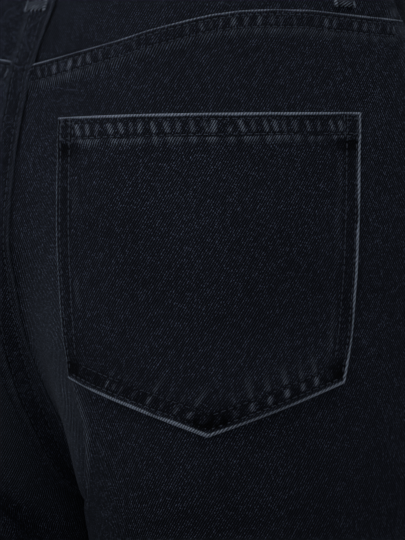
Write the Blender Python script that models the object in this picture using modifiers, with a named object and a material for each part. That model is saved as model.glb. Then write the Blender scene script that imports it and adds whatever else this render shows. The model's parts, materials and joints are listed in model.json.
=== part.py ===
"""High-rise straight jeans in washed black denim, worn and hollow.

Frame: metres, +Z up, the front faces -Y, the wearer's left is +X.
The origin is the middle of the waist opening, at half the waistband's height.
"""
import math

import bmesh
import bpy
import numpy as np
from mathutils import Vector

MM = 0.001

# ---------------------------------------------------------------- driving sizes, metres
CLOTH = 1.2 * MM             # one layer of denim, with its nap
SHARP = math.radians(35)     # edges turning more than this stay sharp
GAP = 0.3 * MM               # between a piece and what it lies on
SEAM = 0.2 * MM              # from a piece's edge to the middle of its seam

# ---------------------------------------------------------------- the garment's sections
# One row for each horizontal section of the wearer's left half, sizes in millimetres.
#   depth                below the waist line, measured at the side seam
#   back_up, front_up    how much higher the section runs at the inner back and inner front edge
#   inner_x              the inner edges: 0 on the seat and front seams, then the inseam
#   back_y, front_y      where the inner back and inner front edges lie
#   seat_x, seat_y       the fullest point of the back
#   side_x, side_y       the side seam
#   thigh_x, thigh_y     the fullest point of the front
#   back_turn, front_turn   0 where the cloth leaves the inner edge sideways, 1 straight back or forward
#   side_round           how square the section is towards the side seam, 0.55 is round
SECTION_COLUMNS = (
    "depth", "back_up", "front_up", "inner_x", "back_y", "front_y", "seat_x", "seat_y",
    "side_x", "side_y", "thigh_x", "thigh_y", "back_turn", "front_turn", "side_round",
)
SECTIONS = (
    (-20, 3, -8, 0, 78, -98, 36, 79, 133, -6, 46, -99, 0.0, 0.0, 0.52),
    (20, 3, -8, 0, 84, -103, 38, 86, 139, -5, 48, -104, 0.0, 0.0, 0.50),
    (49, 3, -6, 0, 98, -108, 42, 101, 150, -3, 50, -109, 0.0, 0.0, 0.48),
    (72, 2, -4, 0, 109, -111, 46, 114, 158, 0, 54, -112, 0.02, 0.0, 0.47),
    (106, 1, -2, 0, 121, -112, 50, 128, 168, 2, 58, -113, 0.05, 0.0, 0.46),
    (146, 0, 0, 0, 127, -110, 55, 136, 175, 4, 62, -112, 0.10, 0.05, 0.46),
    (186, 0, 0, 0, 123, -102, 62, 138, 178, 5, 68, -109, 0.20, 0.15, 0.47),
    (221, 2, 2, 0, 107, -84, 70, 137, 179, 5, 74, -106, 0.35, 0.35, 0.48),
    (248, 4, 4, 0, 84, -58, 77, 135, 179, 5, 79, -103, 0.5, 0.6, 0.49),
    (271, 5, 5, 0, 60, -30, 82, 133, 179, 5, 82, -101, 0.65, 0.85, 0.50),
    (294, 4, 4, 0, 10, 8, 85, 130, 179, 5, 84, -99, 0.9, 1.0, 0.51),
    (336, 0, 0, 3, 6, 6, 87, 122, 178, 5, 88, -94, 1.0, 1.0, 0.53),
    (430, 0, 0, 10, 4, 4, 92, 105, 176, 4, 94, -86, 1.0, 1.0, 0.55),
    (600, 0, 0, 24, 0, 0, 101, 85, 178, 0, 102, -78, 1.0, 1.0, 0.55),
    (780, 0, 0, 35, -2, -2, 108, 76, 182, -2, 109, -74, 1.0, 1.0, 0.55),
    (985, 0, 0, 42, -2, -2, 114, 71, 186, -2, 114, -74, 1.0, 1.0, 0.55),
)
LENGTH_COLUMNS = SECTION_COLUMNS[:12]
ROUND = 0.57                 # the same towards the inner edges
ARC_STEPS = 24               # samples along half a section, to measure its length


STEP = 0.5 * MM               # half a step for a slope of the surface, in both directions
PANEL_WIDTH = 0.25           # about the length of cloth in one unit of place

WAIST_SEAM = 20 * MM         # depths of seams and edges
HEM = 985 * MM
EVEN_DEPTH = 200 * MM        # from here down a panel's rows are level
PANEL_ROWS = 34
ROW_SPREAD = 1.25            # rows are closer together at the top
BACK_COLUMNS = 15
NARROW = 0.012               # the narrow column beside a seam keeps the wall's end square
YOKE_ROWS = 7

# The yoke seam: place between the centre back and the side seam, and depth in millimetres.
YOKE_SEAM = (
    (0.0, 64.0), (0.057, 61.4), (0.12, 58.8), (0.168, 56.6), (0.231, 53.4),
    (0.315, 47.6), (0.408, 42.4), (0.454, 40.1), (0.525, 37.8), (0.6, 36.7),
    (0.7, 36.4), (0.78, 37.4), (0.877, 38.2), (1.0, 38.4),
)

# The scoop of the front pocket, and the denim behind it.
FRONT_START = 1 + 1e-6       # the side seam, on its front side
SCOOP_AROUND = 0.46          # how far it reaches from the side seam towards the centre front
SCOOP_DEPTH = 96 * MM
SCOOP_ROUND = 2.1            # 2 is an ellipse
SCOOP_COLUMNS = 8
FRONT_COLUMNS = 9
FACING_AROUND = 0.5
FACING_DEPTH = 125 * MM
FACING_COLUMNS = 9
FACING_ROWS = 7
FACING_OUT = -2.4 * MM

# The patch pocket, flat: millimetres towards the side and down from the middle of its top.
POCKET_OUTLINE = (
    (-76.4, 2.2), (76.5, -1.5), (75.1, 40), (73.3, 75), (70.9, 102), (67.8, 126.6),
    (4.8, 152.0), (-73.6, 125.3), (-75.8, 92), (-77.1, 60), (-77.0, 28),
)
POCKET_MIDDLE = 0.45         # place of its middle line
POCKET_TOP = 87.6 * MM
WELD = 0.4 * MM              # corners of the cut nearer than this become one

# The waistband, its ends and the button's slot.
BAND_TALL = 40 * MM
BAND_THICK = 2.4 * MM
BAND_OUT = 1.0 * MM          # outside the panels' outer face
BAND_COLUMNS = 60
BAND_END_COLUMNS = 6
BAND_ROWS = 4
UNDERLAP = 0.16              # shares of a front half's width
OVERLAP = 0.065
BAND_STEP_START = 0.08
BAND_STEP = 0.1
BUTTONHOLE_WIDE = 9 * MM
BUTTONHOLE_TALL = 5.6 * MM

# Belt loops: their places and how much longer their tails are than the path's, in millimetres.
LOOPS = (
    ("loop_centre", 0.027, 3.4), ("loop_back_left", 0.8, 0), ("loop_back_right", -0.8, 0),
    ("loop_front_left", 1.52, 0), ("loop_front_right", -1.52, 0),
)
# The path of a loop: depth and lift off the panels.
LOOP_PATH = (
    (-19.5, 1.4), (-14, 1.9), (-5, 2.5), (5, 2.6), (14, 2.2), (20, 1.5),
    (24, 0.9), (28, 0.6), (34.6, 0.5),
)
LOOP_WIDE = 11 * MM
LOOP_THICK = 1.8 * MM
LOOP_COLUMNS = 4

# The fly, behind the centre front: how far inside the cloth each layer lies.
ZIP_TOP = WAIST_SEAM + GAP
ZIP_END = 165 * MM
SHIELD_END = 175 * MM
SLIDER_TOP = 24 * MM
SLIDER_END = 52 * MM
SLIDER_OUT = -2.2 * MM
SLIDER_THICK = 1.0 * MM
ZIP_OUT = -3.7 * MM
ZIP_THICK = 1.5 * MM
SHIELD_OUT = -5.9 * MM
STRIP_COLUMNS = 7
STRIP_ROWS = 8

# The button, turned about its axis: radius and height over the panels, in millimetres.
BUTTON_PROFILE = (
    (0, 4.8), (3, 4.7), (6, 4.2), (8, 3.3), (8.5, 2.4), (8, 1.7), (6.5, 1.4),
    (1.9, 1.4), (1.9, -0.8), (0, -0.8),
)
BUTTON_STEPS = 24
BUTTON_AIM = 10 * MM         # how far out the button's axis is aimed

# The largest folds: from one place and depth to another, half width and rise in millimetres.
FOLDS = (
    (-0.10, 318, -0.80, 350, 20, -4.0),
    (0.12, 322, 0.78, 345, 20, -3.5),
    (-0.15, 640, -0.75, 585, 24, -6.0),
    (-0.20, 560, -0.85, 640, 22, -5.0),
    (0.10, 590, 0.80, 650, 24, -6.0),
    (0.25, 690, 0.85, 625, 22, -4.5),
    (-1.92, 262, -1.40, 215, 16, -3.0),
    (-1.95, 300, -1.30, 262, 18, -3.5),
    (1.92, 258, 1.42, 222, 16, -3.0),
    (1.95, 305, 1.32, 255, 18, -3.5),
    (-1.80, 610, -1.20, 660, 26, -5.0),
    (1.75, 640, 1.20, 600, 26, -4.5),
    (-1.30, 930, -0.70, 950, 16, -3.5),
    (1.40, 940, 0.75, 925, 16, -3.5),
    (0.0, 150, 0.0, 294, 15, -8.0),
    (-0.125, 196, -0.225, 312, 10, -5.5),
    (0.13, 206, 0.215, 318, 10, -4.5),
)

# Colour, roughness and metallic value of each kind of material.
SLOTS = {
    "denim": ((0.016, 0.018, 0.024), 0.9, 0.0),
    "denim_pocket": ((0.015, 0.017, 0.023), 0.9, 0.0),
    "denim_band": ((0.017, 0.019, 0.025), 0.9, 0.0),
    "denim_loop": ((0.018, 0.020, 0.026), 0.9, 0.0),
    "zip_tape": ((0.012, 0.012, 0.014), 0.85, 0.0),
    "brass": ((0.18, 0.16, 0.13), 0.4, 1.0),
}


def smooth_slopes(knots, values):
    """Slopes at the knots of a smooth curve that never passes beyond its rows."""
    secants = np.diff(values) / np.diff(knots)
    before, after = secants[:-1], secants[1:]
    same = before * after > 0
    total = np.where(same, before + after, 1.0)
    inner = np.where(same, 2 * before * after / total, 0.0)
    return np.concatenate([secants[:1], inner, secants[-1:]])


def columns_at(depth):
    """Each column of the table at these depths, in metres, on smooth curves through the rows."""
    table = np.array(SECTIONS, float)
    knots = table[:, 0] * MM
    row = np.clip(np.searchsorted(knots, depth, side="right") - 1, 0, len(knots) - 2)
    span = knots[row + 1] - knots[row]
    t = (depth - knots[row]) / span
    found = {}
    for number, name in enumerate(SECTION_COLUMNS):
        values = table[:, number] * (MM if name in LENGTH_COLUMNS else 1.0)
        slopes = smooth_slopes(knots, values)
        found[name] = (
            (2 * t**3 - 3 * t**2 + 1) * values[row]
            + (t**3 - 2 * t**2 + t) * span * slopes[row]
            + (3 * t**2 - 2 * t**3) * values[row + 1]
            + (t**3 - t**2) * span * slopes[row + 1]
        )
    return found


def cubic(a, b, c, d, t):
    """A Bezier curve's value at t."""
    return a * (1 - t) ** 3 + 3 * b * t * (1 - t) ** 2 + 3 * c * t**2 * (1 - t) + d * t**3


def half_section(sizes, front, t):
    """Plan point at t, from the inner edge (0) over the fullest point (1) to the side seam (2)."""
    inner_y = np.where(front, sizes["front_y"], sizes["back_y"])
    full_x = np.where(front, sizes["thigh_x"], sizes["seat_x"])
    full_y = np.where(front, sizes["thigh_y"], sizes["seat_y"])
    turn = np.where(front, sizes["front_turn"], sizes["back_turn"])
    across, out = full_x - sizes["inner_x"], full_y - inner_y
    first = np.clip(t, 0, 1)
    x_in = cubic(sizes["inner_x"], sizes["inner_x"] + ROUND * (1 - turn) * across,
                 full_x - ROUND * across, full_x, first)
    y_in = cubic(inner_y, inner_y + ROUND * turn * out, full_y, full_y, first)
    across, out = sizes["side_x"] - full_x, full_y - sizes["side_y"]
    second = np.clip(t - 1, 0, 1)
    handle = sizes["side_round"]
    x_out = cubic(full_x, full_x + handle * across, sizes["side_x"], sizes["side_x"], second)
    y_out = cubic(full_y, full_y, sizes["side_y"] + handle * out, sizes["side_y"], second)
    return np.where(t < 1, x_in, x_out), np.where(t < 1, y_in, y_out)


def plain_surface(around, depth, edge=0.0):
    """Points of the left half. around runs 0 inner back, 1 side seam, 2 inner front.

    No point comes nearer than edge, along the cloth, to the inner edges and the side seam.
    """
    around, depth = np.broadcast_arrays(np.asarray(around, float), np.asarray(depth, float))
    shape = around.shape
    around, depth = around.ravel(), depth.ravel()
    front = around > 1
    share = np.clip(np.where(front, 2 - around, around), 0, 1)
    sizes = columns_at(depth)
    steps = np.linspace(0, 2, ARC_STEPS + 1)[None, :]
    tall = {name: column[:, None] for name, column in sizes.items()}
    x, y = half_section(tall, front[:, None], steps)
    run = np.cumsum(np.hypot(np.diff(x, axis=1), np.diff(y, axis=1)), axis=1)
    run = np.concatenate([np.zeros((len(share), 1)), run], axis=1)
    length = run[:, -1]
    share = np.clip(share, edge / length, 1 - edge / length)
    run /= length[:, None]
    cell = np.clip((run <= share[:, None]).sum(1) - 1, 0, ARC_STEPS - 1)
    row = np.arange(len(share))
    inside = (share - run[row, cell]) / (run[row, cell + 1] - run[row, cell])
    x, y = half_section(sizes, front, (cell + inside) * 2 / ARC_STEPS)
    turn = np.where(front, sizes["front_turn"], sizes["back_turn"])
    up = np.where(front, sizes["front_up"], sizes["back_up"])
    x = x + SEAM * turn * (1 - share)
    z = -depth + up * (1 - share) ** 2
    return np.stack([x, y, z], axis=1).reshape(*shape, 3)


def plain_normals(around, depth):
    """Unit vectors out of the plain surface of the left half."""
    low, high = np.clip(around - STEP, 0, 2), np.clip(around + STEP, 0, 2)
    along = plain_surface(high, depth) - plain_surface(low, depth)
    down = plain_surface(around, depth + STEP) - plain_surface(around, depth - STEP)
    out = np.cross(along, down)
    return out / np.linalg.norm(out, axis=-1, keepdims=True)


def fold_height(place, depth):
    """How far the large folds stand out of the plain surface."""
    height = np.zeros(place.shape)
    for place_a, depth_a, place_b, depth_b, width, rise in FOLDS:
        run = np.array([(place_b - place_a) * PANEL_WIDTH, (depth_b - depth_a) * MM])
        from_a = np.stack([(place - place_a) * PANEL_WIDTH, depth - depth_a * MM], axis=-1)
        length = np.hypot(*run)
        along = from_a @ run / length**2
        aside = (from_a[..., 0] * run[1] - from_a[..., 1] * run[0]) / length
        taper = np.clip(1 - (2 * along - 1) ** 2, 0, 1)
        height += rise * MM * taper * np.exp(-((aside / (width * MM)) ** 2))
    return height


def half_surface(side, around, depth, out=0.0, edge=0.0):
    """Points of one half of the garment, moved out of it by out; side is 1 for the left."""
    around, depth, out, side = np.broadcast_arrays(around, depth, out, side)
    lift = (out + fold_height(side * around, depth))[..., None]
    points = plain_surface(around, depth, edge) + plain_normals(around, depth) * lift
    points[..., 0] *= side
    return points


def surface(place, depth, out=0.0):
    """Points of the whole garment, moved out of it by out.

    place runs from the centre back, 0, over the wearer's left side seam, 1, to the centre
    front, 2, and below 0 over the right side. It goes on round past the centre front.
    """
    place = np.asarray(place, float)
    place = np.where(np.abs(place) > 2, place - 4 * np.sign(place), place)
    return half_surface(np.where(place < 0, -1.0, 1.0), np.abs(place), depth, out)


def half_length(depth, front=False):
    """Length of cloth from the inner edge to the side seam."""
    places = np.linspace(1, 2 if front else 0, 60)
    points = plain_surface(places, np.full(60, depth))
    return float(np.linalg.norm(np.diff(points, axis=0), axis=1).sum())


# ---------------------------------------------------------------- making the solids
def new_object(name, mesh, slot):
    """An object in the garment's collection, with its own material."""
    thing = bpy.data.objects.new(name, mesh)
    colour, roughness, metallic = SLOTS[slot]
    material = bpy.data.materials.new(f"{slot}_{name}")
    material.use_nodes = True
    shader = material.node_tree.nodes["Principled BSDF"]
    shader.inputs["Base Color"].default_value = (*colour, 1)
    shader.inputs["Roughness"].default_value = roughness
    shader.inputs["Metallic"].default_value = metallic
    mesh.materials.append(material)
    mesh.shade_smooth()
    mesh.set_sharp_from_angle(angle=SHARP)
    GARMENT.objects.link(thing)
    return thing


def grid_mesh(name, points):
    """An open mesh through rows of points. Rows run down and columns towards larger places."""
    rows, columns = points.shape[:2]
    faces = []
    for row in range(rows - 1):
        for column in range(columns - 1):
            corner = row * columns + column
            across = corner + columns + 1
            faces.append((corner, corner + 1, across))
            faces.append((corner, across, corner + columns))
    mesh = bpy.data.meshes.new(name)
    mesh.from_pydata([tuple(point) for point in points.reshape(-1, 3)], [], faces)
    return mesh


def thicken(thing, thickness):
    """Give an open sheet its wall, inwards from its outer face."""
    wall = thing.modifiers.new("wall", "SOLIDIFY")
    wall.thickness = thickness
    wall.offset = -1
    wall.use_even_offset = True
    return thing


def sheet(name, points, thickness=CLOTH, slot="denim"):
    """A cloth piece through a grid of points on its outer face."""
    return thicken(new_object(name, grid_mesh(name, points), slot), thickness)


def yoke_depth(around):
    """Depth of the yoke seam."""
    return np.interp(around, *np.array(YOKE_SEAM).T) * MM


def scoop_depth(around):
    """Depth of the front panel's top edge: the waist seam, then the scoop of the pocket."""
    share = np.clip((around - 1) / SCOOP_AROUND, 0, 1)
    drop = (1 - share**SCOOP_ROUND) ** (1 / SCOOP_ROUND)
    return WAIST_SEAM + (SCOOP_DEPTH - WAIST_SEAM) * drop


def seam_columns(start, end, count):
    """Columns between two seams, with a narrow one beside each seam."""
    columns = np.linspace(start, end, count)
    return np.concatenate([[start, start + NARROW], columns[1:-1], [end - NARROW, end]])


def panel_places(around, top):
    """Places of a leg panel. Its upper rows follow its top edge, and the rest are level."""
    top = top + SEAM
    start = float(top.max())
    level = start + (HEM - start) * np.linspace(0, 1, PANEL_ROWS) ** ROW_SPREAD
    fade = np.clip((EVEN_DEPTH - level) / (EVEN_DEPTH - start), 0, 1)
    depth = level[:, None] - fade[:, None] * (start - top)[None, :]
    return np.broadcast_to(around, depth.shape), depth


def outward_rows(side, grid):
    """The same grid with its columns in the order of their places on this side."""
    return grid if side > 0 else grid[:, ::-1]


def back_places():
    """Places of a back leg panel's points."""
    around = seam_columns(0, 1, BACK_COLUMNS)
    return panel_places(around, yoke_depth(around))


def front_places():
    """Places of a front leg panel's points."""
    curve = 1 + SCOOP_AROUND * np.sin(np.linspace(0, math.pi / 2, SCOOP_COLUMNS))
    around = np.concatenate([
        [FRONT_START, 1 + NARROW], curve[1:], seam_columns(1 + SCOOP_AROUND, 2, FRONT_COLUMNS)[2:],
    ])
    return panel_places(around, scoop_depth(around))


def panel_grid(side, around, depth):
    """Points of a panel at these places; side is 1 for the wearer's left."""
    return outward_rows(side, half_surface(side, around, depth, edge=SEAM))


def make_yoke(name, side):
    """The yoke, between the waistband and the back panel."""
    around = seam_columns(0, 1, BACK_COLUMNS)
    top = WAIST_SEAM + SEAM
    bottom = yoke_depth(around) - SEAM
    share = np.linspace(0, 1, YOKE_ROWS)[:, None]
    depth = top + (bottom - top)[None, :] * share
    sheet(name, panel_grid(side, around[None, :], depth))


def pocket_flat(around, depth):
    """Where points of the back panel lie on the flat cut of its pocket, in metres."""
    length = np.array([half_length(level) for level in depth.ravel()]).reshape(depth.shape)
    right = (around - POCKET_MIDDLE) * length
    return np.stack([right, depth - POCKET_TOP, np.zeros(depth.shape)], axis=-1)


def make_pocket(name, side):
    """A patch pocket: the back panel's own faces cut to the pocket's outline and moved out."""
    places = back_places()
    mesh = grid_mesh(name, outward_rows(side, pocket_flat(*places)))
    shape = bmesh.new()
    shape.from_mesh(mesh)
    on_panel = shape.verts.layers.float_vector.new("on_panel")
    for vertex, point in zip(shape.verts, panel_grid(side, *places).reshape(-1, 3)):
        vertex[on_panel] = point
    corners = len(POCKET_OUTLINE)
    for number in range(corners):
        start = Vector((*POCKET_OUTLINE[number], 0)) * MM
        end = Vector((*POCKET_OUTLINE[(number + 1) % corners], 0)) * MM
        bmesh.ops.bisect_plane(
            shape, geom=shape.verts[:] + shape.edges[:] + shape.faces[:],
            plane_co=start, plane_no=(end - start).cross(Vector((0, 0, 1))), clear_outer=True,
        )
    for vertex in shape.verts:
        vertex.co = vertex[on_panel]
    bmesh.ops.remove_doubles(shape, verts=shape.verts[:], dist=WELD)
    shape.normal_update()
    moved = [v.co + v.normal * (GAP + CLOTH) * v.calc_shell_factor() for v in shape.verts]
    for vertex, place in zip(shape.verts, moved):
        vertex.co = place
    shape.verts.layers.float_vector.remove(on_panel)
    shape.to_mesh(mesh)
    shape.free()
    thicken(new_object(name, mesh, "denim_pocket"), CLOTH)


def make_facing(name, side):
    """The denim behind the scoop of a front pocket."""
    around = np.linspace(FRONT_START, 1 + FACING_AROUND, FACING_COLUMNS)[None, :]
    depth = np.linspace(WAIST_SEAM + GAP, FACING_DEPTH, FACING_ROWS)[:, None]
    points = half_surface(side, around, depth, FACING_OUT, edge=GAP)
    sheet(name, outward_rows(side, points))


def band_out(place):
    """How far the waistband's outer face stands out: its right end dips under the left one."""
    under = BAND_OUT - BAND_THICK - GAP
    past = np.clip((place + 2 - BAND_STEP_START) / BAND_STEP, 0, 1)
    return under + (BAND_OUT - under) * past**2 * (3 - 2 * past)


def make_waistband():
    """One strip round the waist with a slot for the button in its outer end."""
    step_end = BAND_STEP_START + BAND_STEP
    places = np.concatenate([
        np.linspace(-2 - UNDERLAP, -2 + BAND_STEP_START, BAND_END_COLUMNS)[:-1],
        np.linspace(-2 + BAND_STEP_START, -2 + step_end, BAND_END_COLUMNS)[:-1],
        np.linspace(-2 + step_end, 2 + OVERLAP, BAND_COLUMNS),
    ])
    depth = np.linspace(-BAND_TALL / 2, WAIST_SEAM - SEAM, BAND_ROWS)[:, None]
    out = np.broadcast_to(band_out(places), (BAND_ROWS, len(places)))
    band = sheet("waistband", surface(places[None, :], depth, out), BAND_THICK, "denim_band")
    middle = Vector(surface(2.0, 0.0, BAND_OUT))
    bpy.ops.mesh.primitive_cube_add(size=1, location=middle)
    cutter = bpy.context.object
    cutter.name = "buttonhole_cutter"
    cutter.scale = (BUTTONHOLE_WIDE, 2 * (BAND_THICK + GAP / 2), BUTTONHOLE_TALL)
    cutter.hide_render = True
    cutter.display_type = "WIRE"
    for home in list(cutter.users_collection):
        home.objects.unlink(cutter)
    CUTTERS.objects.link(cutter)
    slot = band.modifiers.new("buttonhole", "BOOLEAN")
    slot.object = cutter


def make_loop(name, place, tail):
    """A belt loop over the waistband, its tail sewn down on the panel below."""
    half = LOOP_WIDE / 2 / half_length(0.0, abs(place) > 1)
    across = place + np.linspace(-half, half, LOOP_COLUMNS)
    depths, lifts = (np.array(LOOP_PATH) * MM).T
    depths[-1] += tail * MM
    out = np.broadcast_to((lifts + LOOP_THICK)[:, None], (len(depths), LOOP_COLUMNS))
    sheet(name, surface(across[None, :], depths[:, None], out), LOOP_THICK, "denim_loop")


def front_strip(name, left, right, top, bottom, out, thickness, slot):
    """A strip behind the centre front, from left to right of it, at a level inside the cloth."""
    arcs = np.linspace(-left, right, STRIP_COLUMNS)
    depth = np.linspace(top, bottom, STRIP_ROWS)
    length = np.array([half_length(level, True) for level in depth])
    places = 2 + arcs[None, :] / length[:, None]
    depth = np.broadcast_to(depth[:, None], places.shape)
    return sheet(name, surface(places, depth, out), thickness, slot)


def make_button():
    """The waistband's button: a domed head on a short shank, a turned profile."""
    profile = np.array(BUTTON_PROFILE) * MM
    mesh = bpy.data.meshes.new("button")
    points = [(float(radius), 0.0, float(out)) for radius, out in profile]
    edges = [(number, number + 1) for number in range(len(points) - 1)]
    mesh.from_pydata(points, edges, [])
    button = new_object("button", mesh, "brass")
    turn = button.modifiers.new("turn", "SCREW")
    turn.steps = turn.render_steps = BUTTON_STEPS
    turn.use_merge_vertices = True
    turn.merge_threshold = 0.00001
    turn.use_normal_calculate = True
    button.location = Vector(surface(2.0, 0.0))
    outward = Vector(surface(2.0, 0.0, BUTTON_AIM)) - button.location
    button.rotation_euler = outward.to_track_quat("Z", "Y").to_euler()


def clear_scene():
    """Remove the scene's objects."""
    for thing in list(bpy.data.objects):
        bpy.data.objects.remove(thing, do_unlink=True)


def new_collection(name):
    """A collection in the scene."""
    collection = bpy.data.collections.new(name)
    bpy.context.scene.collection.children.link(collection)
    return collection


clear_scene()
GARMENT = new_collection("jeans")
CUTTERS = new_collection("cutters")

for word, side in (("left", 1), ("right", -1)):
    sheet(f"back_{word}", panel_grid(side, *back_places()))
    sheet(f"front_{word}", panel_grid(side, *front_places()))
    make_yoke(f"yoke_{word}", side)
    make_pocket(f"back_pocket_{word}", side)
    make_facing(f"pocket_facing_{word}", side)
make_waistband()
for loop_name, loop_place, loop_tail in LOOPS:
    make_loop(loop_name, loop_place, loop_tail)
front_strip("fly_shield", 24 * MM, 18 * MM, ZIP_TOP, SHIELD_END, SHIELD_OUT, CLOTH, "denim")
front_strip("zip", 13 * MM, 13 * MM, ZIP_TOP, ZIP_END, ZIP_OUT, ZIP_THICK, "zip_tape")
front_strip("zip_slider", 4 * MM, 4 * MM, SLIDER_TOP, SLIDER_END, SLIDER_OUT, SLIDER_THICK, "brass")
make_button()
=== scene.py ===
"""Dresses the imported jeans: washed black denim, worn along its seams, with its sewing.

Frame: metres, +Z up, the front faces -Y, the wearer's left is +X.
The camera looks at the back of the wearer's right hip from close by.
"""
import json
import math
from collections import namedtuple

import bpy
import numpy as np
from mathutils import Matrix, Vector

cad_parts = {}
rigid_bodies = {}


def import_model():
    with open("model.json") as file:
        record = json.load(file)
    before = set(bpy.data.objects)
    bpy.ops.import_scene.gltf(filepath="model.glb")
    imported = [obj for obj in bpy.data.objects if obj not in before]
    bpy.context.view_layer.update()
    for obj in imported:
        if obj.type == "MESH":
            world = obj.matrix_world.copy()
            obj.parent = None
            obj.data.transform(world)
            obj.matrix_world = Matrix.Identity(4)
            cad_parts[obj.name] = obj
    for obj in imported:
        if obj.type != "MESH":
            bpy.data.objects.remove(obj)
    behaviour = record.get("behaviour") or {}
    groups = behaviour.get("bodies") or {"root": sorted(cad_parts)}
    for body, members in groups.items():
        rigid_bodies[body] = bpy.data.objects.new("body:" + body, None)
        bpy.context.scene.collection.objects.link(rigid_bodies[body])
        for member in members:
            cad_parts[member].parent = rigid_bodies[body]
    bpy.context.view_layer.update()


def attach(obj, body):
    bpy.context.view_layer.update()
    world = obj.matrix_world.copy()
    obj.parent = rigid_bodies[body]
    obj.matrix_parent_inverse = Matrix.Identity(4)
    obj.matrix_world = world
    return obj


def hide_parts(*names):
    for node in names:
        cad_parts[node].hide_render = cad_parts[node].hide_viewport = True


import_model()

MM = 0.001

# ---------------------------------------------------------------- driving sizes, metres
CLOTH = 1.2 * MM             # one layer of denim, with its nap
GAP = 0.3 * MM               # between a piece and what it lies on
SEAM = 0.2 * MM              # from a piece's edge to the middle of its seam

# ---------------------------------------------------------------- the garment's sections
# One row for each horizontal section of the wearer's left half, sizes in millimetres.
#   depth                below the waist line, measured at the side seam
#   back_up, front_up    how much higher the section runs at the inner back and inner front edge
#   inner_x              the inner edges: 0 on the seat and front seams, then the inseam
#   back_y, front_y      where the inner back and inner front edges lie
#   seat_x, seat_y       the fullest point of the back
#   side_x, side_y       the side seam
#   thigh_x, thigh_y     the fullest point of the front
#   back_turn, front_turn   0 where the cloth leaves the inner edge sideways, 1 straight away
#   side_round           how square the section is towards the side seam, 0.55 is round
SECTION_COLUMNS = (
    "depth", "back_up", "front_up", "inner_x", "back_y", "front_y", "seat_x", "seat_y",
    "side_x", "side_y", "thigh_x", "thigh_y", "back_turn", "front_turn", "side_round",
)
SECTIONS = (
    (-20, 3, -8, 0, 78, -98, 36, 79, 133, -6, 46, -99, 0.0, 0.0, 0.52),
    (20, 3, -8, 0, 84, -103, 38, 86, 139, -5, 48, -104, 0.0, 0.0, 0.50),
    (49, 3, -6, 0, 98, -108, 42, 101, 150, -3, 50, -109, 0.0, 0.0, 0.48),
    (72, 2, -4, 0, 109, -111, 46, 114, 158, 0, 54, -112, 0.02, 0.0, 0.47),
    (106, 1, -2, 0, 121, -112, 50, 128, 168, 2, 58, -113, 0.05, 0.0, 0.46),
    (146, 0, 0, 0, 127, -110, 55, 136, 175, 4, 62, -112, 0.10, 0.05, 0.46),
    (186, 0, 0, 0, 123, -102, 62, 138, 178, 5, 68, -109, 0.20, 0.15, 0.47),
    (221, 2, 2, 0, 107, -84, 70, 137, 179, 5, 74, -106, 0.35, 0.35, 0.48),
    (248, 4, 4, 0, 84, -58, 77, 135, 179, 5, 79, -103, 0.5, 0.6, 0.49),
    (271, 5, 5, 0, 60, -30, 82, 133, 179, 5, 82, -101, 0.65, 0.85, 0.50),
    (294, 4, 4, 0, 10, 8, 85, 130, 179, 5, 84, -99, 0.9, 1.0, 0.51),
    (336, 0, 0, 3, 6, 6, 87, 122, 178, 5, 88, -94, 1.0, 1.0, 0.53),
    (430, 0, 0, 10, 4, 4, 92, 105, 176, 4, 94, -86, 1.0, 1.0, 0.55),
    (600, 0, 0, 24, 0, 0, 101, 85, 178, 0, 102, -78, 1.0, 1.0, 0.55),
    (780, 0, 0, 35, -2, -2, 108, 76, 182, -2, 109, -74, 1.0, 1.0, 0.55),
    (985, 0, 0, 42, -2, -2, 114, 71, 186, -2, 114, -74, 1.0, 1.0, 0.55),
)
LENGTH_COLUMNS = 12          # the first of them are lengths
ROUND = 0.57                 # how square a section is towards the inner edges
ARC_STEPS = 24               # samples along half a section, to measure its length

STEP = 0.5 * MM              # half a step for a slope of the surface, in both directions
PANEL_WIDTH = 0.25           # about the length of cloth in one unit of place

WAIST_SEAM = 20 * MM         # depths of seams and edges
HEM = 985 * MM
EVEN_DEPTH = 200 * MM        # from here down a panel's rows are level

# The yoke seam: place between the centre back and the side seam, and depth in millimetres.
YOKE_SEAM = (
    (0.0, 64.0), (0.057, 61.4), (0.12, 58.8), (0.168, 56.6), (0.231, 53.4),
    (0.315, 47.6), (0.408, 42.4), (0.454, 40.1), (0.525, 37.8), (0.6, 36.7),
    (0.7, 36.4), (0.78, 37.4), (0.877, 38.2), (1.0, 38.4),
)

# The scoop of the front pocket, and the denim behind it.
FRONT_START = 1 + 1e-6       # the side seam, on its front side
SCOOP_AROUND = 0.46          # how far it reaches from the side seam towards the centre front
SCOOP_DEPTH = 96 * MM
SCOOP_ROUND = 2.1            # 2 is an ellipse
FACING_AROUND = 0.5
FACING_DEPTH = 125 * MM
FACING_OUT = -2.4 * MM

# The patch pocket, flat: millimetres towards the side and down from the middle of its top.
POCKET_OUTLINE = (
    (-76.4, 2.2), (76.5, -1.5), (75.1, 40), (73.3, 75), (70.9, 102), (67.8, 126.6),
    (4.8, 152.0), (-73.6, 125.3), (-75.8, 92), (-77.1, 60), (-77.0, 28),
)
POCKET_MIDDLE = 0.45         # place of its middle line
POCKET_TOP = 87.6 * MM

# The waistband and its ends.
BAND_TALL = 40 * MM
BAND_THICK = 2.4 * MM
BAND_OUT = 1.0 * MM          # outside the panels' outer face
UNDERLAP = 0.16              # shares of a front half's width
OVERLAP = 0.065
BAND_STEP_START = 0.08
BAND_STEP = 0.1

# Belt loops: their places and how much longer their tails are than the path's, in millimetres.
LOOPS = (
    ("loop_centre", 0.027, 3.4), ("loop_back_left", 0.8, 0), ("loop_back_right", -0.8, 0),
    ("loop_front_left", 1.52, 0), ("loop_front_right", -1.52, 0),
)
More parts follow.
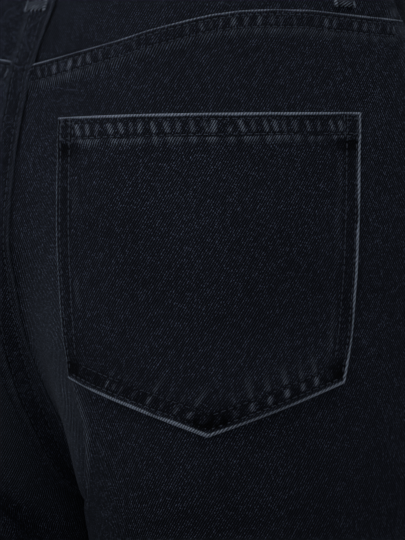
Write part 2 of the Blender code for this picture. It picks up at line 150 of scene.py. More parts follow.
# The path of a loop: depth and lift off the panels.
LOOP_PATH = (
    (-19.5, 1.4), (-14, 1.9), (-5, 2.5), (5, 2.6), (14, 2.2), (20, 1.5),
    (24, 0.9), (28, 0.6), (34.6, 0.5),
)
LOOP_WIDE = 11 * MM
LOOP_THICK = 1.8 * MM

# The fly, behind the centre front: how far inside the cloth each layer lies.
ZIP_TOP = WAIST_SEAM + GAP
ZIP_END = 165 * MM
SHIELD_END = 175 * MM
SLIDER_OUT = -2.2 * MM
SLIDER_THICK = 1.0 * MM
ZIP_OUT = -3.7 * MM
SHIELD_OUT = -5.9 * MM

# The largest folds: from one place and depth to another, half width and rise in millimetres.
FOLDS = (
    (-0.10, 318, -0.80, 350, 20, -4.0),
    (0.12, 322, 0.78, 345, 20, -3.5),
    (-0.15, 640, -0.75, 585, 24, -6.0),
    (-0.20, 560, -0.85, 640, 22, -5.0),
    (0.10, 590, 0.80, 650, 24, -6.0),
    (0.25, 690, 0.85, 625, 22, -4.5),
    (-1.92, 262, -1.40, 215, 16, -3.0),
    (-1.95, 300, -1.30, 262, 18, -3.5),
    (1.92, 258, 1.42, 222, 16, -3.0),
    (1.95, 305, 1.32, 255, 18, -3.5),
    (-1.80, 610, -1.20, 660, 26, -5.0),
    (1.75, 640, 1.20, 600, 26, -4.5),
    (-1.30, 930, -0.70, 950, 16, -3.5),
    (1.40, 940, 0.75, 925, 16, -3.5),
    (0.0, 150, 0.0, 294, 15, -8.0),
    (-0.125, 196, -0.225, 312, 10, -5.5),
    (0.13, 206, 0.215, 318, 10, -4.5),
)

# Smaller creases, in the same columns.
CREASES = (
    # the ridge beside the inner thigh's fold, right and left
    (-0.155, 205, -0.245, 252, 3.6, 2.0),
    (-0.220, 236, -0.256, 312, 3.6, 2.6),
    (0.160, 212, 0.235, 260, 3.8, 1.8),
    (0.210, 244, 0.246, 318, 3.8, 2.2),
    # under the seat, from the fork outwards
    (-0.06, 318, -0.52, 286, 7, -1.6),
    (-0.10, 334, -0.60, 312, 6, 1.3),
    (-0.22, 352, -0.86, 372, 9, -1.8),
    (-0.30, 300, -0.72, 276, 9, -1.0),
    (0.05, 316, 0.48, 290, 7, -1.4),
    (0.12, 336, 0.64, 318, 7, 1.2),
    (0.26, 356, 0.82, 366, 8, -1.7),
    (0.34, 304, 0.75, 282, 10, -0.9),
    # back of the thighs
    (-0.15, 402, -0.62, 430, 11, -1.6),
    (-0.48, 452, -0.95, 424, 10, 1.2),
    (-0.12, 486, -0.55, 470, 10, -1.3),
    (0.18, 410, 0.58, 396, 11, -1.4),
    (0.42, 440, 0.93, 462, 10, 1.3),
    (0.14, 500, 0.60, 478, 11, -1.4),
    # behind the knees
    (-0.10, 548, -0.48, 566, 8, -2.0),
    (-0.42, 590, -0.92, 572, 7, 1.6),
    (-0.08, 612, -0.66, 600, 8, -2.2),
    (-0.30, 628, -0.90, 652, 9, 1.5),
    (-0.12, 668, -0.58, 680, 9, -1.8),
    (-0.55, 690, -0.95, 672, 8, -1.4),
    (0.10, 556, 0.52, 544, 8, -1.9),
    (0.38, 574, 0.90, 596, 7, 1.5),
    (0.08, 620, 0.60, 634, 8, -2.1),
    (0.34, 650, 0.92, 630, 9, 1.4),
    (0.16, 676, 0.66, 664, 9, -1.7),
    (0.50, 700, 0.94, 716, 8, -1.3),
    # lower legs and ankles, at the back
    (-0.16, 768, -0.60, 790, 12, -1.4),
    (-0.35, 846, -0.88, 828, 10, 1.4),
    (-0.12, 884, -0.66, 902, 8, -2.0),
    (-0.42, 924, -0.90, 908, 7, 1.6),
    (-0.10, 944, -0.56, 958, 7, -1.6),
    (0.18, 780, 0.64, 764, 12, -1.3),
    (0.30, 836, 0.86, 856, 10, 1.3),
    (0.10, 896, 0.62, 880, 8, -1.9),
    (0.46, 912, 0.92, 930, 7, 1.5),
    (0.12, 956, 0.60, 946, 7, -1.7),
    # whiskers across the hips at the front
    (-1.94, 226, -1.46, 196, 6, -1.6),
    (-1.90, 250, -1.34, 236, 6, 1.3),
    (-1.95, 280, -1.42, 290, 8, -1.8),
    (-1.80, 196, -1.40, 168, 7, 1.0),
    (1.94, 232, 1.50, 204, 6, -1.5),
    (1.90, 246, 1.36, 240, 6, 1.3),
    (1.95, 286, 1.46, 282, 8, -1.7),
    (1.82, 204, 1.44, 178, 7, 0.9),
    # front of the thighs and knees
    (-1.86, 360, -1.30, 384, 11, -1.4),
    (-1.70, 446, -1.16, 430, 12, 1.1),
    (-1.84, 560, -1.30, 580, 9, -1.7),
    (-1.66, 640, -1.12, 622, 9, 1.4),
    (-1.82, 700, -1.28, 718, 10, -1.6),
    (1.84, 372, 1.34, 356, 11, -1.4),
    (1.68, 438, 1.18, 458, 12, 1.1),
    (1.85, 572, 1.32, 556, 9, -1.6),
    (1.64, 616, 1.14, 636, 9, 1.3),
    (1.80, 706, 1.26, 690, 10, -1.6),
    # lower legs and ankles, at the front
    (-1.80, 800, -1.30, 820, 13, -1.3),
    (-1.74, 880, -1.20, 862, 10, 1.3),
    (-1.86, 912, -1.34, 930, 8, -1.9),
    (-1.60, 956, -1.15, 944, 7, 1.4),
    (1.82, 812, 1.32, 796, 13, -1.3),
    (1.70, 870, 1.22, 888, 10, 1.2),
    (1.88, 926, 1.36, 908, 8, -1.8),
    (1.62, 942, 1.18, 958, 7, 1.4),
)
# Close steps from the end of a strip with round ends, in millimetres.
END_STEPS = np.array((0, 0.1, 0.35, 0.75, 1.2))


def curve_through(knots, values, at):
    """Smooth curves through the last axis of a table, which never pass beyond its rows."""
    knots, values = np.asarray(knots, float), np.asarray(values, float)
    secants = np.diff(values) / np.diff(knots)
    before, after = secants[..., :-1], secants[..., 1:]
    same = before * after > 0
    inner = np.where(same, 2 * before * after / np.where(same, before + after, 1.0), 0.0)
    slopes = np.concatenate([secants[..., :1], inner, secants[..., -1:]], axis=-1)
    row = np.clip(np.searchsorted(knots, at, side="right") - 1, 0, len(knots) - 2)
    span = knots[row + 1] - knots[row]
    t = (at - knots[row]) / span
    return ((2 * t**3 - 3 * t**2 + 1) * values[..., row]
            + (t**3 - 2 * t**2 + t) * span * slopes[..., row]
            + (3 * t**2 - 2 * t**3) * values[..., row + 1]
            + (t**3 - t**2) * span * slopes[..., row + 1])


def columns_at(depth):
    """Each column of the sections at these depths, lengths in metres."""
    table = np.array(SECTIONS, float).T
    table[:LENGTH_COLUMNS] *= MM
    return dict(zip(SECTION_COLUMNS, curve_through(table[0], table, depth)))


def cubic(a, b, c, d, t):
    """A Bezier curve's value at t."""
    return a * (1 - t) ** 3 + 3 * b * t * (1 - t) ** 2 + 3 * c * t**2 * (1 - t) + d * t**3


def half_section(sizes, front, t):
    """Plan point at t, from the inner edge (0) over the fullest point (1) to the side seam (2)."""
    inner_y = np.where(front, sizes["front_y"], sizes["back_y"])
    full_x = np.where(front, sizes["thigh_x"], sizes["seat_x"])
    full_y = np.where(front, sizes["thigh_y"], sizes["seat_y"])
    turn = np.where(front, sizes["front_turn"], sizes["back_turn"])
    across, out = full_x - sizes["inner_x"], full_y - inner_y
    first = np.clip(t, 0, 1)
    x_in = cubic(sizes["inner_x"], sizes["inner_x"] + ROUND * (1 - turn) * across,
                 full_x - ROUND * across, full_x, first)
    y_in = cubic(inner_y, inner_y + ROUND * turn * out, full_y, full_y, first)
    across, out = sizes["side_x"] - full_x, full_y - sizes["side_y"]
    second = np.clip(t - 1, 0, 1)
    handle = sizes["side_round"]
    x_out = cubic(full_x, full_x + handle * across, sizes["side_x"], sizes["side_x"], second)
    y_out = cubic(full_y, full_y, sizes["side_y"] + handle * out, sizes["side_y"], second)
    return np.where(t < 1, x_in, x_out), np.where(t < 1, y_in, y_out)


def plain_surface(around, depth):
    """Points of the left half. around runs 0 inner back, 1 side seam, 2 inner front."""
    around, depth = np.broadcast_arrays(np.asarray(around, float), np.asarray(depth, float))
    shape = around.shape
    around, depth = around.ravel(), depth.ravel()
    front = around > 1
    share = np.clip(np.where(front, 2 - around, around), 0, 1)
    sizes = columns_at(depth)
    tall = {name: column[:, None] for name, column in sizes.items()}
    x, y = half_section(tall, front[:, None], np.linspace(0, 2, ARC_STEPS + 1)[None, :])
    run = np.cumsum(np.hypot(np.diff(x, axis=1), np.diff(y, axis=1)), axis=1)
    run = np.concatenate([np.zeros((len(share), 1)), run], axis=1)
    run /= run[:, -1:]
    cell = np.clip((run <= share[:, None]).sum(1) - 1, 0, ARC_STEPS - 1)
    row = np.arange(len(share))
    inside = (share - run[row, cell]) / (run[row, cell + 1] - run[row, cell])
    x, y = half_section(sizes, front, (cell + inside) * 2 / ARC_STEPS)
    turn = np.where(front, sizes["front_turn"], sizes["back_turn"])
    up = np.where(front, sizes["front_up"], sizes["back_up"])
    x = x + SEAM * turn * (1 - share)
    z = -depth + up * (1 - share) ** 2
    return np.stack([x, y, z], axis=1).reshape(*shape, 3)


def plain_normals(around, depth):
    """Unit vectors out of the plain surface of the left half."""
    low, high = np.clip(around - STEP, 0, 2), np.clip(around + STEP, 0, 2)
    along = plain_surface(high, depth) - plain_surface(low, depth)
    down = plain_surface(around, depth + STEP) - plain_surface(around, depth - STEP)
    out = np.cross(along, down)
    return out / np.linalg.norm(out, axis=-1, keepdims=True)


def bell(distance, wide):
    """1 where the distance is 0, and next to nothing beyond twice this width."""
    return np.exp(-((distance / wide) ** 2))


def fold_height(place, depth):
    """How far the folds and creases stand out of the plain surface."""
    height = np.zeros(place.shape)
    for place_a, depth_a, place_b, depth_b, width, rise in FOLDS + CREASES:
        run = np.array([(place_b - place_a) * PANEL_WIDTH, (depth_b - depth_a) * MM])
        from_a = np.stack([(place - place_a) * PANEL_WIDTH, depth - depth_a * MM], axis=-1)
        length = np.hypot(*run)
        along = from_a @ run / length**2
        aside = (from_a[..., 0] * run[1] - from_a[..., 1] * run[0]) / length
        taper = np.clip(1 - (2 * along - 1) ** 2, 0, 1)
        height += rise * MM * taper * bell(aside, width * MM)
    return height


def half_surface(side, around, depth, out=0.0):
    """Points of one half of the garment, moved out of it by out; side is 1 for the left."""
    around, depth, out, side = np.broadcast_arrays(around, depth, out, side)
    lift = (out + fold_height(side * around, depth))[..., None]
    points = plain_surface(around, depth) + plain_normals(around, depth) * lift
    points[..., 0] *= side
    return points


def surface(place, depth, out=0.0):
    """Points of the whole garment, moved out of it by out.

    place runs from the centre back, 0, over the wearer's left side seam, 1, to the centre
    front, 2, and below 0 over the right side. It goes on round past the centre front.
    """
    place = np.asarray(place, float)
    place = np.where(np.abs(place) > 2, place - 4 * np.sign(place), place)
    return half_surface(np.where(place < 0, -1.0, 1.0), np.abs(place), depth, out)


def half_length(depth, front):
    """Length of cloth from the inner edge to the side seam, at one depth."""
    places = np.linspace(1, 2 if front else 0, 60)
    points = plain_surface(places, np.full(60, depth))
    return float(np.linalg.norm(np.diff(points, axis=0), axis=1).sum())


# Samples of the cloth's length round the back and the front of one half.
DEPTHS = np.linspace(-0.02, 0.985, 160)
LENGTHS = [np.array([half_length(level, front) for level in DEPTHS]) for front in (False, True)]


def cloth_length(depth, front):
    """Length of cloth from the inner edge to the side seam, at many depths."""
    return np.interp(depth, DEPTHS, LENGTHS[front])


def smooth(low, high, value):
    """A smooth step from 0 at low to 1 at high."""
    share = np.clip((value - low) / (high - low), 0, 1)
    return share * share * (3 - 2 * share)


def between(low, on, off, high, value):
    """Rises smoothly from low to on, and falls again from off to high."""
    return smooth(low, on, value) * (1 - smooth(off, high, value))


def wander(seed, where, step):
    """Smooth random values from 0 to 1 along a length, one free value each step."""
    knots = np.random.default_rng(seed).random(int(np.max(where) / step) + 4)
    cell = np.clip(where, 0, None) / step
    number = cell.astype(int)
    share = smooth(0, 1, cell - number)
    return knots[number] * (1 - share) + knots[number + 1] * share


def table_at(table, value):
    """The second column of a table at a value of its first, on straight lines."""
    return np.interp(value, *np.array(table).T)


def run_along(x, y):
    """Length along a line, at each of its points."""
    return np.concatenate([[0.0], np.cumsum(np.hypot(np.diff(x), np.diff(y)))])


def blunt(value, power):
    """A sine or cosine, pressed towards -1 and 1, for a ring that is nearly a rectangle."""
    return np.sign(value) * np.abs(value) ** power


def close_ends(start, end, inset, step):
    """Places from start to end, closer together at both ends."""
    return np.concatenate([start + END_STEPS, np.arange(start + inset, end - inset, step),
                           end - END_STEPS[::-1]])


# ---------------------------------------------------------------- materials
BLACK_DENIM = (0.0112, 0.0136, 0.0205)
WORN_DENIM = (0.150, 0.176, 0.225, 1.0)
INSIDE_PALER = 1.7           # how much paler the cloth's wrong side is
SEWING_THREAD = (0.105, 0.125, 0.172)
TAPE_BLACK = (0.012, 0.012, 0.014)
DULL_BRASS = (0.09, 0.075, 0.055, 1.0)
BRIGHT_BRASS = (0.30, 0.26, 0.20, 1.0)
ENDS = 1 / (0.412 * MM)      # warp threads a metre
PICKS = 1 / (0.705 * MM)     # weft threads a metre
TWIST = 1 / (0.7 * MM)       # turns a metre of the sewing thread
TWILL = 3.0                  # each warp thread passes over two of three weft threads
SWAY = (160, 1.4)            # how the threads wander: cells a metre, and by how many threads
SPECK = (7.0, 2.6, 0.64)     # pale floats: how rare, how pale, and the shade of the others
# Uneven dye, broad to fine: cells a metre, detail, gain, and least.
DYE = ((28, 3.0, 0.5, 0.75), (260, 3.0, 0.9, 0.55), (1200, 1.0, 1.1, 0.45))
SHADOW = (0.85, 0.12)        # painted shade: how much a value of -1 darkens the cloth, and the least that is left
ROPE_WIDE = 1.45 * MM        # spacing of the slanting threads of a worn edge, across the cloth
ROPE_TALL = 2.4 * MM         # and up it
ROPE_LEAST = 0.9 * MM        # width of the palest part of a worn edge
ROPE_REACH = 1.3 * MM        # and how much wider it is where it is worn most
ROPE_FADE = (1.0, 0.55)      # shares of that width where it begins, and where it is full


class Signal:
    """A node's output. Arithmetic with it adds nodes."""

    def __init__(self, nodes, socket):
        self.nodes, self.socket = nodes, socket

    def __add__(self, other):
        return self.nodes.math("ADD", self, other)

    def __sub__(self, other):
        return self.nodes.math("SUBTRACT", self, other)

    def __rsub__(self, other):
        return self.nodes.math("SUBTRACT", other, self)

    def __mul__(self, other):
        return self.nodes.math("MULTIPLY", self, other)

    def __truediv__(self, other):
        return self.nodes.math("DIVIDE", self, other)

    def __pow__(self, other):
        return self.nodes.math("POWER", self, other)


class Nodes:
    """Builds one material out of linked nodes."""

    def __init__(self, name):
        self.material = bpy.data.materials.new(name)
        self.material.use_nodes = True
        self.tree = self.material.node_tree
        self.shader = self.tree.nodes["Principled BSDF"]

    def plug(self, socket, value):
        """Link a socket, or set its value."""
        if isinstance(value, Signal):
            self.tree.links.new(value.socket, socket)
        else:
            socket.default_value = value

    def add(self, kind, inputs, output=0, **settings):
        """A new node with these inputs; gives one of its outputs."""
        node = self.tree.nodes.new(kind)
        for name, value in settings.items():
            setattr(node, name, value)
        for key, value in inputs.items():
            self.plug(node.inputs[key], value)
        return Signal(self, node.outputs[output])

    def math(self, operation, *values):
        """One arithmetic step."""
        return self.add("ShaderNodeMath", dict(enumerate(values)), operation=operation)

    def step(self, value, low, high):
        """A smooth step from 0 at low to 1 at high."""
        inputs = {"Value": value, "From Min": low, "From Max": high}
        return self.add("ShaderNodeMapRange", inputs, interpolation_type="SMOOTHSTEP")

    def noise(self, place, scale, detail=2.0):
        """Smooth noise about 0.5, scale in cells a metre."""
        return self.add("ShaderNodeTexNoise", {"Vector": place, "Scale": scale, "Detail": detail})

    def parts(self, vector):
        """The first two parts of a vector."""
        first = self.add("ShaderNodeSeparateXYZ", {"Vector": vector})
        return first, Signal(self, first.socket.node.outputs[1])

    def map(self, name):
        """Coordinates of a UV map, in metres."""
        return self.add("ShaderNodeUVMap", {}, uv_map=name)

    def value(self, name):
        """A number kept at the mesh's points."""
        return self.add("ShaderNodeAttribute", {}, "Fac", attribute_name=name)

    def scale(self, colour, level):
        """A colour, brighter or darker."""
        return self.add("ShaderNodeVectorMath", {0: colour, "Scale": level}, operation="SCALE")

    def mix(self, factor, first, second):
        """A colour between two others."""
        inputs = {"Factor": factor, 6: first, 7: second}
        return self.add("ShaderNodeMix", inputs, 2, data_type="RGBA")

    def finish(self, colour, height, bump, roughness, specular, metallic=0.0):
        """Join the colour and bump to the shader; bump in millimetres."""
        values = {"Base Color": colour, "Roughness": roughness, "Specular IOR Level": specular,
                  "Metallic": metallic}
        inputs = {"Height": height, "Distance": bump * MM, "Strength": 1.0}
        values["Normal"] = self.add("ShaderNodeBump", inputs)
        for name, value in values.items():
            self.plug(self.shader.inputs[name], value)
        return self.material


def twill(n, cloth):
    """The weave: how high the warp stands at a point, and a random value for each float."""
    across, up = n.parts(cloth)
    cells, threads = SWAY
    sway = n.noise(cloth, cells)
    ends = across * ENDS + sway * threads
    picks = up * PICKS + sway
    end = n.math("FLOOR", ends)
    phase = n.math("FRACT", (picks - end) / TWILL) * TWILL
    aside = n.math("FRACT", ends) * 2.0 - 1.0
    crown = 1.0 - aside * aside * 0.5
    reach = (n.math("ABSOLUTE", phase - 1.0) * 1.2) ** 1.4
    arch = n.math("MAXIMUM", 1.0 - reach, 0.0)
    cell = n.add("ShaderNodeCombineXYZ", {"X": end, "Y": n.math("FLOOR", picks)})
    return crown * arch, n.add("ShaderNodeTexWhiteNoise", {"Vector": cell})


def denim(name, shade):
    """Washed black twill: paler where the value kept at its points is above 0 (wear, and a little
    painted light) or a worn folded edge says so, and darker where it is below 0, which is painted
    shade.
    """
    n = Nodes(name)
    cloth = n.map("cloth")
    across, up = n.parts(cloth)
    _, inside = n.parts(n.map("seam"))
    wear, strong = n.value("wear"), n.value("rope")
    warp, chance = twill(n, cloth)
    rare, bright, plain = SPECK
    thread = warp * (chance**rare * bright + plain) * 2.5 + 0.03
    broad, patch, grain = (n.noise(cloth, cells, detail) * gain + least
                           for cells, detail, gain, least in DYE)
    darkens, least = SHADOW
    shadow = n.math("MAXIMUM", n.math("MINIMUM", wear, 0.0) * darkens + 1.0, least)
    dark = n.scale(shade, thread * (broad * patch * grain) * shadow)
    wave = n.noise(cloth, 300) * 0.8 + (across / ROPE_WIDE - up / ROPE_TALL)
    strand = (n.math("PINGPONG", wave, 0.5) * 2.0) ** 1.5
    edge = n.step(inside / (strong * ROPE_REACH + ROPE_LEAST), *ROPE_FADE) * strong
    rope = edge * (strand * 1.5 + 0.08)
    rubbed = wear * (warp * 1.5 + 0.04) * grain
    pale = n.math("MINIMUM", n.math("MAXIMUM", rope, rubbed), 1.0)
    height = edge * strand * 2.0 + warp + grain
    return n.finish(n.mix(pale, dark, WORN_DENIM), height, 0.12, 0.9, 0.03)


def thread():
    """Dark grey sewing thread with paler strand tops."""
    n = Nodes("thread")
    cloth = n.map("cloth")
    along, turn = n.parts(cloth)
    twist = n.math("PINGPONG", along * TWIST + turn, 0.5)
    level = (twist * 1.4 + 0.3) * n.noise(cloth, 500) ** 1.5
    return n.finish(n.scale(SEWING_THREAD, level), twist, 0.05, 0.8, 0.05)


def tape():
    """Black herringbone tape of the zip."""
    n = Nodes("zip_tape")
    across, up = n.parts(n.map("cloth"))
    zigzag = n.math("PINGPONG", across / (2 * MM), 0.5)
    rib = n.math("PINGPONG", up / (0.8 * MM) + zigzag, 0.5)
    return n.finish(n.scale(TAPE_BLACK, rib * 1.6 + 0.5), rib, 0.1, 0.85, 0.2)


def brass():
    """Dark antique brass, brighter where hands polish it."""
    n = Nodes("antique_brass")
    place = n.add("ShaderNodeTexCoord", {}, "Object")
    worn = n.step(n.noise(place, 350, 4.0), 0.4, 0.65)
    scratch = n.noise(place, 2500)
    return n.finish(n.mix(worn, DULL_BRASS, BRIGHT_BRASS), scratch, 0.03, 0.38, 0.5, 1.0)


DENIM = denim("washed_denim", BLACK_DENIM)
INSIDE = denim("denim_inside", tuple(INSIDE_PALER * part for part in BLACK_DENIM))
THREAD = thread()
TAPE = tape()
BRASS = brass()


# ---------------------------------------------------------------- meshes
OUTSIDE = 2 * MM             # how far out a mesh's facing is tested
MEETING = 0.6 * MM           # cloth this near the middle of the garment is drawn to it
GRAIN_AT = 0.55              # the middle of the hips, as a share of a half from the side seam


def piece(name, points, faces, material, stands_for=()):
    """A mesh that rides on the jeans."""
    mesh = bpy.data.meshes.new(name)
    mesh.from_pydata(points.reshape(-1, 3), [], faces.tolist())
    mesh.materials.append(material)
    mesh.shade_smooth()
    thing = bpy.data.objects.new(name, mesh)
    bpy.context.scene.collection.objects.link(thing)
    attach(thing, "root")
    if stands_for:
        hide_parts(*stands_for)
    return thing


def keep_map(mesh, name, corners):
    """Keep a pair of coordinates at each face corner of a mesh."""
    layer = mesh.uv_layers.new(name=name)
    layer.data.foreach_set("uv", corners.astype("f4").ravel())


def grid_piece(name, points, cloth, outside, material=DENIM, seam=None, nearest=None,
               wear=None, rope=None, thickness=0.0, stands_for=()):
    """A piece of cloth through a grid of points.

    cloth and seam are its map coordinates at the points, and outside are points a little
    outside it. With several sets of seam coordinates, nearest gives each face's set.
    """
    rows, columns = points.shape[:2]
    corner = (np.arange(rows - 1)[:, None] * columns + np.arange(columns - 1)).ravel()
    faces = np.stack([corner, corner + 1, corner + columns + 1, corner + columns], axis=1)
    middle = points[:-1, :-1]
    normal = np.cross(points[:-1, 1:] - middle, points[1:, :-1] - middle)
    if np.sum(normal * (outside[:-1, :-1] - middle)) < 0:
        faces = faces[:, ::-1]
    thing = piece(name, points, faces, material, stands_for)
    mesh = thing.data
    corners = faces.ravel()
    keep_map(mesh, "cloth", cloth.reshape(-1, 2)[corners])
    if seam is None:
        seam = np.broadcast_to((0.0, 1.0), points.shape[:2] + (2,))
    if nearest is None:
        keep_map(mesh, "seam", seam.reshape(-1, 2)[corners])
    else:
        sets = seam.reshape(len(seam), -1, 2)
        keep_map(mesh, "seam", sets[np.repeat(nearest.ravel(), 4), corners])
    # Per point: wear above 0, painted shade below 0; and the worn folded edge
    for key, values in (("wear", wear), ("rope", rope)):
        values = np.zeros(points.shape[:2]) if values is None else values
        layer = mesh.attributes.new(key, "FLOAT", "POINT")
        layer.data.foreach_set("value", values.ravel().astype("f4"))
    if thickness:
        mesh.materials.append(INSIDE)
        wall = thing.modifiers.new("wall", "SOLIDIFY")
        wall.thickness = thickness
        wall.offset = -1
        wall.material_offset = 1
        wall.material_offset_rim = 0
    return thing


def cloth_map(side, around, depth):
    """Map coordinates of the cut panels, in metres.

    The grain is upright along the middle of the hips, and along the side seams below them.
    """
    around, depth = np.broadcast_arrays(around, depth)
    front = around > 1
    level = np.minimum(depth, EVEN_DEPTH)
    across = np.where(
        front,
        (around - 1) * cloth_length(depth, True) - GRAIN_AT * cloth_length(level, True),
        (around - 1) * cloth_length(depth, False) + GRAIN_AT * cloth_length(level, False),
    )
    return np.stack([-side * across, -depth], axis=-1)


def panel(name, side, around, depth, stands_for, out=0.0, wear=None):
    """A panel of the garment's cloth through a grid of places."""
    around, depth = np.broadcast_arrays(around, depth)
    points = half_surface(side, around, depth, out)
    across = points[..., 0]
    across[np.abs(across) < MEETING] = 0.0
    outside = half_surface(side, around, depth, out + OUTSIDE)
    grid_piece(name, points, cloth_map(side, around, depth), outside, wear=wear,
               thickness=CLOTH, stands_for=(stands_for,))


# ---------------------------------------------------------------- stitches
STITCH_PITCH = 3.35          # millimetres, as all sizes of stitches and seams
STITCH_LONG = 2.75
STITCH_RADIUS = 0.27
STITCH_SIDES = 4
# Along one stitch: shares of its length, and heights over the cloth.
ARCH_SHARES = np.array((-0.5, -0.34, 0.0, 0.34, 0.5))
ARCH_LIFTS = np.array((-0.30, 0.02, 0.12, 0.02, -0.30))
DENT = 0.40                  # depth of the dent along a row of stitches
DENT_SHADE = 0.85             # painted shade: how much darker the cloth is painted in it
DENT_NARROW = 0.5            # its half width, and on pockets and hems
DENT_WIDE = 0.55
TACK_PITCH = 0.45            # from one thread of a bar tack to the next
TACK_TALL = 2.2
TACK_RISE = 0.12
ROWS_SEWN = {}


def sew(group, point, along, across, level=0.0):
    """Keep stitches for later. point gives the garment's points at these places and levels."""
    level = level + ARCH_LIFTS
    rows = point(along, across, level), point(along, across, level + 1)
    ROWS_SEWN.setdefault(group, []).append(rows)


def stitch_marks(length):
    """Places along a row of the points of every stitch in it."""
    count = max(int(length / STITCH_PITCH), 1)
    middles = (np.arange(count) + 0.5) * length / count
    return middles[:, None] + ARCH_SHARES * STITCH_LONG


def tack(group, point, start, end, across):
    """A bar tack: close threads side by side from start to end, centred at across."""
    at = np.arange(start, end, TACK_PITCH)[:, None]
    sew(group, point, at, across + ARCH_SHARES * TACK_TALL, TACK_RISE)


def tube_faces(stations, sides):
    """Quads of a tube between its stations, each a ring of points."""
    side = np.arange(sides)
    after = (side + 1) % sides
    station = np.arange(stations - 1)[:, None] * sides
    return np.stack([station + side, station + after, station + after + sides,
                     station + side + sides], axis=-1).reshape(-1, 4)


def make_stitches():
    """Every group of stitches as one piece of small bent tubes."""
    for group, rows in ROWS_SEWN.items():
        centres, outwards = (np.concatenate(part) for part in zip(*rows))
        outwards = outwards - centres
        outwards /= np.linalg.norm(outwards, axis=-1, keepdims=True)
        along = np.gradient(centres, axis=1)
        along /= np.linalg.norm(along, axis=-1, keepdims=True)
        sideways = np.cross(along, outwards)
        angles = (np.arange(STITCH_SIDES) + 0.5) * 2 * math.pi / STITCH_SIDES
        ring = (sideways[:, :, None] * np.cos(angles)[:, None]
                + outwards[:, :, None] * np.sin(angles)[:, None])
        points = (centres[:, :, None] + ring * STITCH_RADIUS * MM).reshape(-1, 3)
        count, stations = centres.shape[:2]
        start = np.arange(count)[:, None, None] * stations * STITCH_SIDES
        faces = (start + tube_faces(stations, STITCH_SIDES)).reshape(-1, 4)
        thing = piece(f"stitches_{group}", points, faces, THREAD)
        number = np.arange(len(points))
        length = number // STITCH_SIDES * STITCH_LONG * MM / stations
        turn = number % STITCH_SIDES / STITCH_SIDES
        keep_map(thing.data, "cloth", np.stack([length, turn], axis=1)[faces.ravel()])


# ---------------------------------------------------------------- seams
# One row for each kind of seam, sizes in millimetres. w is the distance from the folded edge.
#   rise             height of the upper layers over the panel
#   rows             w of each row of stitches
#   plateau, foot    w where the layers end, and where the cloth is level again
#   bar_step, bar_wide, bar_rise   spacing, half width and height of the puckers along the seam
#   bar_wear         how much paler a pucker is
#   between, band    wear between the rows, and inside the last row
#   rope             wear of the folded edge
Seam = namedtuple(
    "Seam", "rise rows plateau foot bar_step bar_wide bar_rise bar_wear between band rope")
SEAMS = {
    "yoke": Seam(1.3, (2.9, 9.0), 10.0, 14.5, 5.4, 1.35, 0.35, 1.05, -0.40, 0.20, 0.55),
    "seat": Seam(1.3, (2.9, 9.2), 10.2, 14.5, 6.0, 1.5, 0.20, 0.25, -0.15, 0.14, 0.10),
    "inseam": Seam(1.2, (2.6, 8.8), 9.6, 14.0, 6.5, 1.6, 0.32, 0.50, -0.20, 0.20, 0.40),
    "front": Seam(1.2, (2.6, 8.8), 9.6, 14.0, 6.5, 1.6, 0.25, 0.40, -0.20, 0.15, 0.35),
    "side": Seam(0.6, (), 9.0, 13.0, 9.0, 2.6, 0.25, 0.35, 0.0, 0.10, 0.25),
    "scoop": Seam(1.2, (2.6, 8.8), 9.8, 14.0, 5.8, 1.4, 0.28, 0.70, -0.20, 0.30, 0.80),
    "fly": Seam(0.9, (), 37.5, 41.5, 13.0, 2.2, 0.10, 0.10, 0.0, 0.05, 0.45),
}
FOLD_EDGE = ((0.0, -1.1), (0.05, 0.05), (0.2, 0.6), (0.45, 0.9), (0.8, 1.0))   # w, share of rise
ROW_BESIDE = 0.7             # the last of the close columns beside a row of stitches
BARS_APART = (0.8, 1.2)      # puckers: shares of their spacing and of their half width
BARS_WIDE = (0.7, 1.35)
BARS_STRONG = (0.5, 1.0)     # their strength, and how far they slant
BARS_SLANT = (-0.1, 0.4)
BARS_MIDDLE = 5              # w of the middle of a slanting pucker
SEAM_PATCHES = 23.0          # from one worn patch of a seam to the next
ROPE_PATCHES = 9.0           # and of a folded edge
STRIP_STEP = 1.3             # between a strip's sections
LONG_STRIP_STEP = 2.0
LEAST_APART = 0.14           # the least distance between a strip's columns


def make_bars(seed, length, step, ranges):
    """Puckers along a seam: their places, half widths, strengths and slants."""
    chance = np.random.default_rng(seed)
    count = int(length / step) + 3
    apart, *others = [chance.uniform(low, high, count) for low, high in ranges]
    return list(zip(np.cumsum(step * apart) - step, *others))


def seam_bars(seed, length, kind):
    """The puckers of one kind of seam."""
    wide = [kind.bar_wide * share for share in BARS_WIDE]
    return make_bars(seed, length, kind.bar_step, (BARS_APART, wide, BARS_STRONG, BARS_SLANT))


def bar_pattern(bars, s, w, middle=BARS_MIDDLE):
    """How strongly the puckers show at places along and across a seam."""
    total = np.zeros(np.broadcast(s, w).shape)
    for at, wide, strong, slant in bars:
        total += strong * bell(s - at - slant * (w - middle), wide)
    return np.minimum(total, 1.0)


